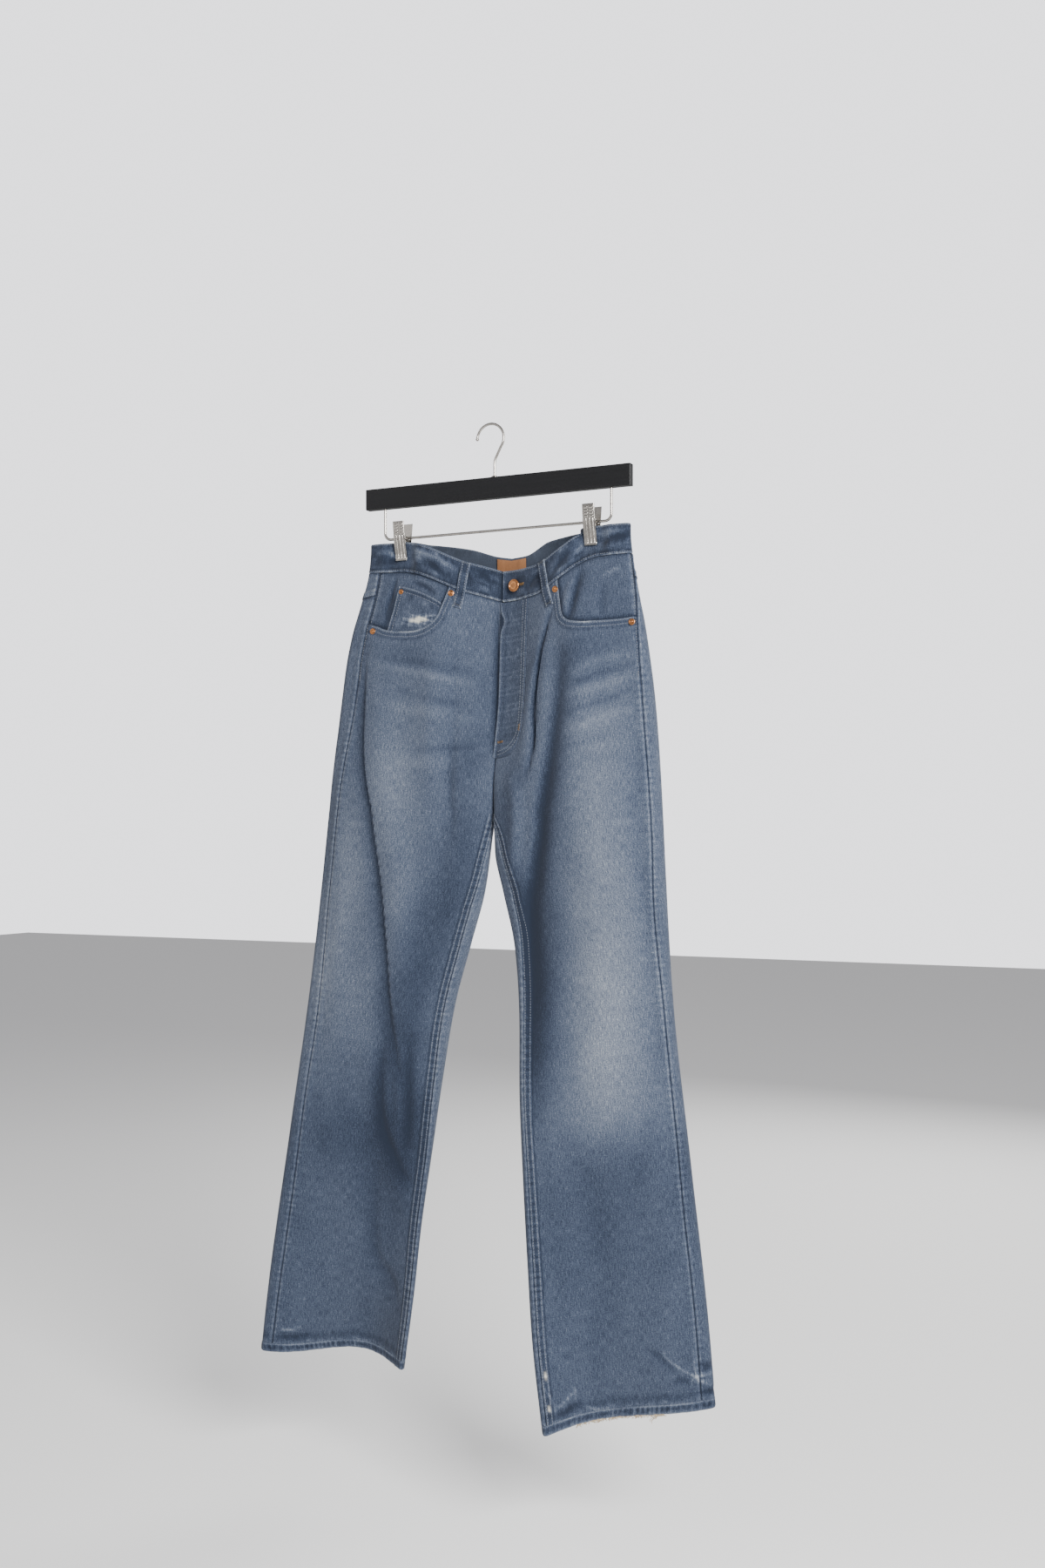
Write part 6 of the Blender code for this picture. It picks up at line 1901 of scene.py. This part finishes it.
def dress_hanger():
    """The lacquered bar, the hook and the lower wire."""
    low = BAR_TOP - BAR_HEIGHT
    profile = []
    for y, z, start in ((1, -1, -90), (1, 1, 0), (-1, 1, 90), (-1, -1, 180)):
        y = y * (BAR_DEPTH / 2 - BAR_BEVEL)
        z = (low + BAR_TOP) / 2 + z * (BAR_HEIGHT / 2 - BAR_BEVEL)
        for k in range(5):
            angle = math.radians(start + 22.5 * k)
            profile.append((y, z, math.cos(angle), math.sin(angle)))
    ends = (0.0, 0.4, 0.75)
    steps = [(t, 1.0) for t in np.linspace(-1, 1, 60)]
    steps = [(-1, k) for k in ends] + steps + [(1, k) for k in ends[::-1]]
    vertices = []
    for t, size in steps:
        inset = 1.0 if size == 1.0 else 1 - math.cos(math.asin(1 - size))
        grown = BAR_BEVEL * math.sqrt(1 - (1 - size) ** 2)
        x = t * (BAR_LENGTH / 2 - BAR_BEVEL * inset)
        vertices += [(x, y + grown * c, z + grown * s) for y, z, c, s in profile]
    count = len(profile)
    faces = ring_faces(len(steps), count)
    faces += [tuple(range(count))[::-1], tuple(range(len(vertices) - count, len(vertices)))]
    make_outward(add_piece("dressed_hanger_bar", vertices, faces, "black_paint", ["hanger_bar"]))
    bend = arc(HOOK_X, HOOK_WIRE - HOOK_RADIUS, HOOK_RADIUS, HOOK_START, HOOK_END, 60)
    leave = np.array(bend[-1])
    neck = [tuple(leave + (np.array((0.0, 0.0, STEM_TOP)) - leave) * t) for t in (0.3, 0.6, 0.9)]
    stem = [(0.0004, 0.0, STEM_TOP - 0.0010), (0.0, 0.0, STEM_TOP - 0.004), (0.0, 0.0, -0.060),
            (0.0, 0.0, BAR_TOP + GAP)]
    points = bend + neck + stem
    radii = np.full(len(points), HOOK_WIRE)
    radii[:3] = [HOOK_WIRE * (0.5 + 0.9 * math.sqrt(min(1.0, k / 1.5))) for k in range(3)]
    tube("dressed_hook", points, radii, ["hook"])
    collar = rounded([(0.0030, 0.0), (0.0046, 0.0), (0.0046, 0.0012), (0.0024, 0.0022), (0.0018, 0.0022)],
                     passes=1)
    turned_piece("hook_collar", collar, 28, "steel", [], (0.0, 0.0, BAR_TOP), (0.0, 0.0, 1.0))
    left_bend = arc(-WIRE_X + WIRE_BEND, WIRE_Z + WIRE_BEND, WIRE_BEND, 180, 270, 14)
    right_bend = arc(WIRE_X - WIRE_BEND, WIRE_Z + WIRE_BEND, WIRE_BEND, 270, 360, 14)
    middle = [(x, 0.0, WIRE_Z) for x in np.linspace(-0.14, 0.14, 9)]
    start, end = [[(x, 0.0, low + 0.0002), (x, 0.0, -0.112)] for x in (-WIRE_X, WIRE_X)]
    tube("dressed_lower_wire", start + left_bend + middle + right_bend + end[::-1], WIRE, ["lower_wire"])


def dress_clips():
    """Two sprung clips: ribbed finger ends, ridged jaws and a wound spring."""
    depths, heights = np.array([tuple(row) for row in CLIP_ROWS])[::-1].T
    for side, x in (("left", -CLIP_X), ("right", CLIP_X)):
        for name, sign in (("front", -1.0), ("rear", 1.0)):
            z, w = np.meshgrid(np.linspace(-0.1170, -0.1685, 104), np.linspace(-0.5, 0.5, 41), indexing="ij")
            base = np.interp(z, heights, depths)
            down = (-0.1170 - z) / 0.0515
            soft = 0.5 + 0.5 * np.tanh(4.0 * np.cos(2 * math.pi * 3.6 * w))
            body = smooth((down - 0.345) / 0.02) * (1 - smooth((down - 0.935) / 0.02))
            finger = 0.5 + 0.5 * np.tanh(3.0 * np.sin(2 * math.pi * down / 0.072))
            columns = (np.abs(np.abs(w) - 0.21) < 0.155).astype(float)
            head = smooth((down - 0.03) / 0.01) * (1 - smooth((down - 0.315) / 0.02)) * columns
            raised = 0.0009 * soft * body + 0.0007 * finger * head
            corner = np.clip((np.abs(w) - 0.45) / 0.05, 0.0, 1.0)
            lip = 0.0010 * corner ** 2
            outer = np.stack([x + w * CLIP_WIDTH, sign * (base + CLIP_PLATE + raised - lip), z], axis=-1)
            inner = np.stack([x + w * CLIP_WIDTH, sign * (base + 0 * w), z], axis=-1)
            faces = slab_faces(*z.shape, False)
            vertices = np.concatenate([outer.reshape(-1, 3), inner.reshape(-1, 3)])
            node = "clip_%s_%s" % (side, name)
            make_outward(add_piece("dressed_" + node, vertices, faces.tolist(), "steel", [node], 50))
        turns = np.linspace(0.0, 2 * math.pi * 6.5, 170)
        coil = CLIP_SPRING - 0.0011
        along = x + SPRING_LENGTH * (turns / turns[-1] - 0.5)
        points = np.stack([along, coil * np.cos(turns), WIRE_Z + coil * np.sin(turns)], axis=-1)
        tube("dressed_clip_%s_spring" % side, points, 0.00075, ["clip_%s_spring" % side], 8)
        for name, end in (("left", -0.5), ("right", 0.5)):
            along = x + end * (SPRING_LENGTH + 0.0016)
            pin = [(along, y * 0.0086, WIRE_Z - 0.001) for y in (-1.0, -0.5, 0.0, 0.5, 1.0)]
            tube("clip_%s_pin_%s" % (side, name), pin, 0.0011, [], 8)


def tint(name, description, *colour):
    """A colour among the settings."""
    return FloatVectorProperty(name=name, description=description, subtype="COLOR", default=colour)


class DenimSettings(bpy.types.PropertyGroup):
    """Colours and texture of the worn denim."""

    deep: tint("Unworn", "Colour in the deepest seams", 0.013, 0.018, 0.031)
    dark: tint("Dark", "Colour of the dark wash", 0.027, 0.036, 0.059)
    middle: tint("Middle", "Colour of the usual wash", 0.058, 0.073, 0.107)
    light: tint("Light", "Colour of the worn thighs", 0.132, 0.151, 0.188)
    pale: tint("Pale", "Colour of the palest wear", 0.300, 0.322, 0.345)
    cream: tint("Bare threads", "Colour of bare cotton threads", 0.66, 0.64, 0.54)
    cream_shade: tint("Between bare threads", "Colour between bare threads", 0.34, 0.34, 0.32)
    inner_side: tint("Inner side", "Colour of the cloth's inner side", 0.050, 0.060, 0.078)
    slub: FloatProperty(name="Slub", description="Strength of the lengthwise streaks",
                        default=0.36, min=0.0, max=1.0, subtype="FACTOR")
    grain: FloatProperty(name="Grain", description="Strength of the fine grain",
                         default=0.42, min=0.0, max=1.0, subtype="FACTOR")


class SewingSettings(bpy.types.PropertyGroup):
    """Sizes and colours of the sewing threads."""

    pitch: FloatProperty(name="Pitch", description="Length of one stitch",
                         default=0.0034, min=0.001, max=0.01, unit="LENGTH")
    radius: FloatProperty(name="Thread radius", description="Radius of the sewing thread",
                          default=0.00034, min=0.0001, max=0.001, unit="LENGTH")
    pale: tint("Pale thread", "Faded thread of most seams", 0.200, 0.215, 0.245)
    tan: tint("Tan thread", "Thread of bar tacks and the buttonhole", 0.36, 0.21, 0.09)
    straw: tint("Frayed edge", "Loose threads of the worn hem", 0.46, 0.35, 0.22)
    navy: tint("Navy thread", "Thread along the fly's edge", 0.060, 0.075, 0.110)
    seed: IntProperty(name="Seed", description="Seed of the uneven stitches", default=3, min=0)


class MetalSettings(bpy.types.PropertyGroup):
    """Colours of the metal, leather and paint."""

    copper: tint("Copper", "Button and rivets", 0.44, 0.195, 0.080)
    steel: tint("Steel", "Hook, wire and clips", 0.50, 0.47, 0.43)
    paint: tint("Paint", "Lacquer on the bar", 0.005, 0.005, 0.0055)
    leather: tint("Leather", "Label", 0.27, 0.118, 0.048)


class StageSettings(bpy.types.PropertyGroup):
    """Light, floor and camera."""

    key: FloatProperty(name="Key light", description="Power of the soft light from the right",
                       default=150.0, min=0.0, unit="POWER")
    fill: FloatProperty(name="Surroundings", description="Strength of the light all round",
                        default=0.50, min=0.0)
    backdrop: FloatProperty(name="Backdrop", description="Brightness of the pale surroundings as seen",
                            default=2.2, min=0.0)
    floor_drop: FloatProperty(name="Floor drop", description="Clear height below the lower hem",
                              default=0.16, min=0.0, unit="LENGTH")
    lens: FloatProperty(name="Lens", description="Focal length in millimetres on a 36 mm frame",
                        default=37.2, min=10.0)


class JEANS_OT_materials(bpy.types.Operator):
    """Make the finishes of cloth, thread, metal, leather and paint"""

    bl_idname = "jeans.materials"
    bl_label = "Finishes"

    def execute(self, context):
        scene = context.scene
        metal, sewing = scene.jeans_metal, scene.jeans_sewing
        denim = denim_look(scene.jeans_denim)
        MATERIALS.update({"denim": denim, "denim_band": denim, "denim_hem": denim})
        for name in ("pale", "tan", "straw", "navy"):
            MATERIALS[name] = thread_look(name + " thread", tuple(getattr(sewing, name)))
        MATERIALS["cream"] = thread_look("cream cotton", tuple(scene.jeans_denim.cream))
        MATERIALS["copper"] = metal_look("worn copper", tuple(metal.copper), 0.30, 0.10)
        MATERIALS["steel"] = metal_look("nickelled steel", tuple(metal.steel), 0.26, 0.08)
        MATERIALS["black_paint"] = paint_look(tuple(metal.paint))
        MATERIALS["leather"] = leather_look(tuple(metal.leather))
        return {"FINISHED"}


class JEANS_OT_legs(bpy.types.Operator):
    """Dress the front and back leg panels and the yokes"""

    bl_idname = "jeans.legs"
    bl_label = "Leg panels and yokes"

    def execute(self, context):
        for side in ("left", "right"):
            dress_front(side)
            dress_back(side)
        return {"FINISHED"}


class JEANS_OT_waist(bpy.types.Operator):
    """Dress the waistband, the fly and the belt loops"""

    bl_idname = "jeans.waist"
    bl_label = "Waistband, fly and loops"

    def execute(self, context):
        dress_band()
        dress_fly()
        dress_loops()
        dress_label()
        return {"FINISHED"}


class JEANS_OT_pockets(bpy.types.Operator):
    """Dress the pocket facings, the coin pocket and the back pockets"""

    bl_idname = "jeans.pockets"
    bl_label = "Pockets"

    def execute(self, context):
        dress_linings()
        for side in ("left", "right"):
            dress_back_pocket(side)
        return {"FINISHED"}


class JEANS_OT_hems(bpy.types.Operator):
    """Dress the turned hems and their loose threads"""

    bl_idname = "jeans.hems"
    bl_label = "Hems and fraying"

    def execute(self, context):
        for side in ("left", "right"):
            dress_hem(side)
        straw = fray("right", (0.110, 0.350), 260, 0.0060, 5) + fray("right", (0.322, 0.342), 6, 0.0150, 6)
        grow("frayed_edge", straw, thread_tree(), {
            "Thread radius": 0.00030, "Sides": 4, "Thread": MATERIALS["straw"]})
        paths = fray("left", (0.030, 0.075), 14, 0.0045, 8) + fray("right", (0.02, 0.98), 26, 0.0030, 9)
        paths += fray("left", (0.02, 0.98), 22, 0.0028, 10)
        grow("frayed_threads", paths, thread_tree(), {
            "Thread radius": 0.00016, "Sides": 4, "Thread": MATERIALS["cream"]})
        return {"FINISHED"}


class JEANS_OT_sewing(bpy.types.Operator):
    """Sew every row of stitches and every bar tack"""

    bl_idname = "jeans.sewing"
    bl_label = "Stitching"

    def execute(self, context):
        sewing = context.scene.jeans_sewing
        plan_sewing()
        for colour, paths in SEWING.items():
            if paths:
                grow("stitches_" + colour, paths, stitch_tree(), {
                    "Pitch": sewing.pitch, "Thread radius": sewing.radius, "Seed": sewing.seed,
                    "Thread": MATERIALS[colour]})
        for colour, paths in TACKS.items():
            if paths:
                grow("bar_tacks_" + colour, paths, thread_tree(), {
                    "Thread radius": 0.8 * sewing.radius, "Thread": MATERIALS[colour]})
        return {"FINISHED"}


class JEANS_OT_metal(bpy.types.Operator):
    """Dress the waist button and the rivets"""

    bl_idname = "jeans.metal"
    bl_label = "Button and rivets"

    def execute(self, context):
        dress_metal()
        return {"FINISHED"}


class JEANS_OT_hanger(bpy.types.Operator):
    """Dress the hanger's bar, hook, wire and clips"""

    bl_idname = "jeans.hanger"
    bl_label = "Hanger"

    def execute(self, context):
        dress_hanger()
        dress_clips()
        return {"FINISHED"}


class JEANS_OT_stage(bpy.types.Operator):
    """Lay a pale floor and set the soft light and the camera"""

    bl_idname = "jeans.stage"
    bl_label = "Stage"

    def execute(self, context):
        scene, settings = context.scene, context.scene.jeans_stage
        pale = (0.93, 0.925, 0.91, 1.0)
        floor_look = Look("pale floor", Roughness=0.9, Base_Color=pale, Specular_IOR_Level=0.2)
        level = -1.2800 - settings.floor_drop
        mesh = bpy.data.meshes.new("floor")
        mesh.from_pydata([(-9, -9, level), (9, -9, level), (9, 9, level), (-9, 9, level)], [], [(0, 1, 2, 3)])
        mesh.materials.append(floor_look.material)
        floor = bpy.data.objects.new("floor", mesh)
        scene.collection.objects.link(floor)
        for name, place, power, size in (("key", (1.95, -1.60, 0.35), settings.key, 1.1),
                                         ("left fill", (-2.4, -1.6, 0.4), 0.16 * settings.key, 2.2),
                                         ("back fill", (0.4, 2.6, 0.6), 0.45 * settings.key, 2.4)):
            light = bpy.data.lights.new(name, "AREA")
            light.energy = power
            light.size = size
            lamp = bpy.data.objects.new(name, light)
            lamp.location = place
            aim = Vector((0.0, 0.0, -0.65)) - Vector(place)
            lamp.rotation_euler = aim.to_track_quat("-Z", "Y").to_euler()
            scene.collection.objects.link(lamp)
        world = bpy.data.worlds.new("pale surroundings")
        world.use_nodes = True
        nodes, links = world.node_tree.nodes, world.node_tree.links
        background = nodes["Background"]
        background.inputs["Color"].default_value = (0.96, 0.96, 1.0, 1.0)
        seen = nodes.new("ShaderNodeLightPath")
        strength = nodes.new("ShaderNodeMapRange")
        strength.inputs["To Min"].default_value = settings.fill
        strength.inputs["To Max"].default_value = settings.backdrop
        links.new(seen.outputs["Is Camera Ray"], strength.inputs["Value"])
        links.new(strength.outputs["Result"], background.inputs["Strength"])
        scene.world = world
        lens = bpy.data.cameras.new("camera")
        lens.lens = settings.lens
        lens.shift_y = 50 / 1800
        camera = bpy.data.objects.new("camera", lens)
        camera.location = (0.9423, -1.8994, -0.527)
        camera.rotation_euler = (math.radians(90), 0.0, math.radians(25.4))
        scene.collection.objects.link(camera)
        scene.camera = camera
        return {"FINISHED"}


ORDER = (JEANS_OT_materials, JEANS_OT_legs, JEANS_OT_waist, JEANS_OT_pockets, JEANS_OT_hems, JEANS_OT_sewing,
         JEANS_OT_metal, JEANS_OT_hanger, JEANS_OT_stage)
SETTINGS = (("jeans_denim", DenimSettings), ("jeans_sewing", SewingSettings), ("jeans_metal", MetalSettings),
            ("jeans_stage", StageSettings))


class JEANS_PT_panel(bpy.types.Panel):
    """The steps that dress the jeans, in order"""

    bl_label = "Jeans on a clip hanger"
    bl_idname = "JEANS_PT_panel"
    bl_space_type = "VIEW_3D"
    bl_region_type = "UI"
    bl_category = "Jeans"

    def draw(self, context):
        for step in ORDER:
            self.layout.operator(step.bl_idname)
        for name, group in SETTINGS:
            box = self.layout.box()
            for key in group.__annotations__:
                box.prop(getattr(context.scene, name), key)


def register():
    """Add the classes and the scene's settings."""
    for name, group in SETTINGS:
        bpy.utils.register_class(group)
        setattr(bpy.types.Scene, name, PointerProperty(type=group))
    for step in ORDER:
        bpy.utils.register_class(step)
    bpy.utils.register_class(JEANS_PT_panel)


def unregister():
    """Remove the classes and the scene's settings."""
    bpy.utils.unregister_class(JEANS_PT_panel)
    for step in reversed(ORDER):
        bpy.utils.unregister_class(step)
    for name, group in reversed(SETTINGS):
        delattr(bpy.types.Scene, name)
        bpy.utils.unregister_class(group)


def main():
    """Dress the jeans."""
    register()
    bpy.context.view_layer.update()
    for step in ORDER:
        space, action = step.bl_idname.split(".")
        getattr(getattr(bpy.ops, space), action)()


if __name__ == "__main__":
    main()
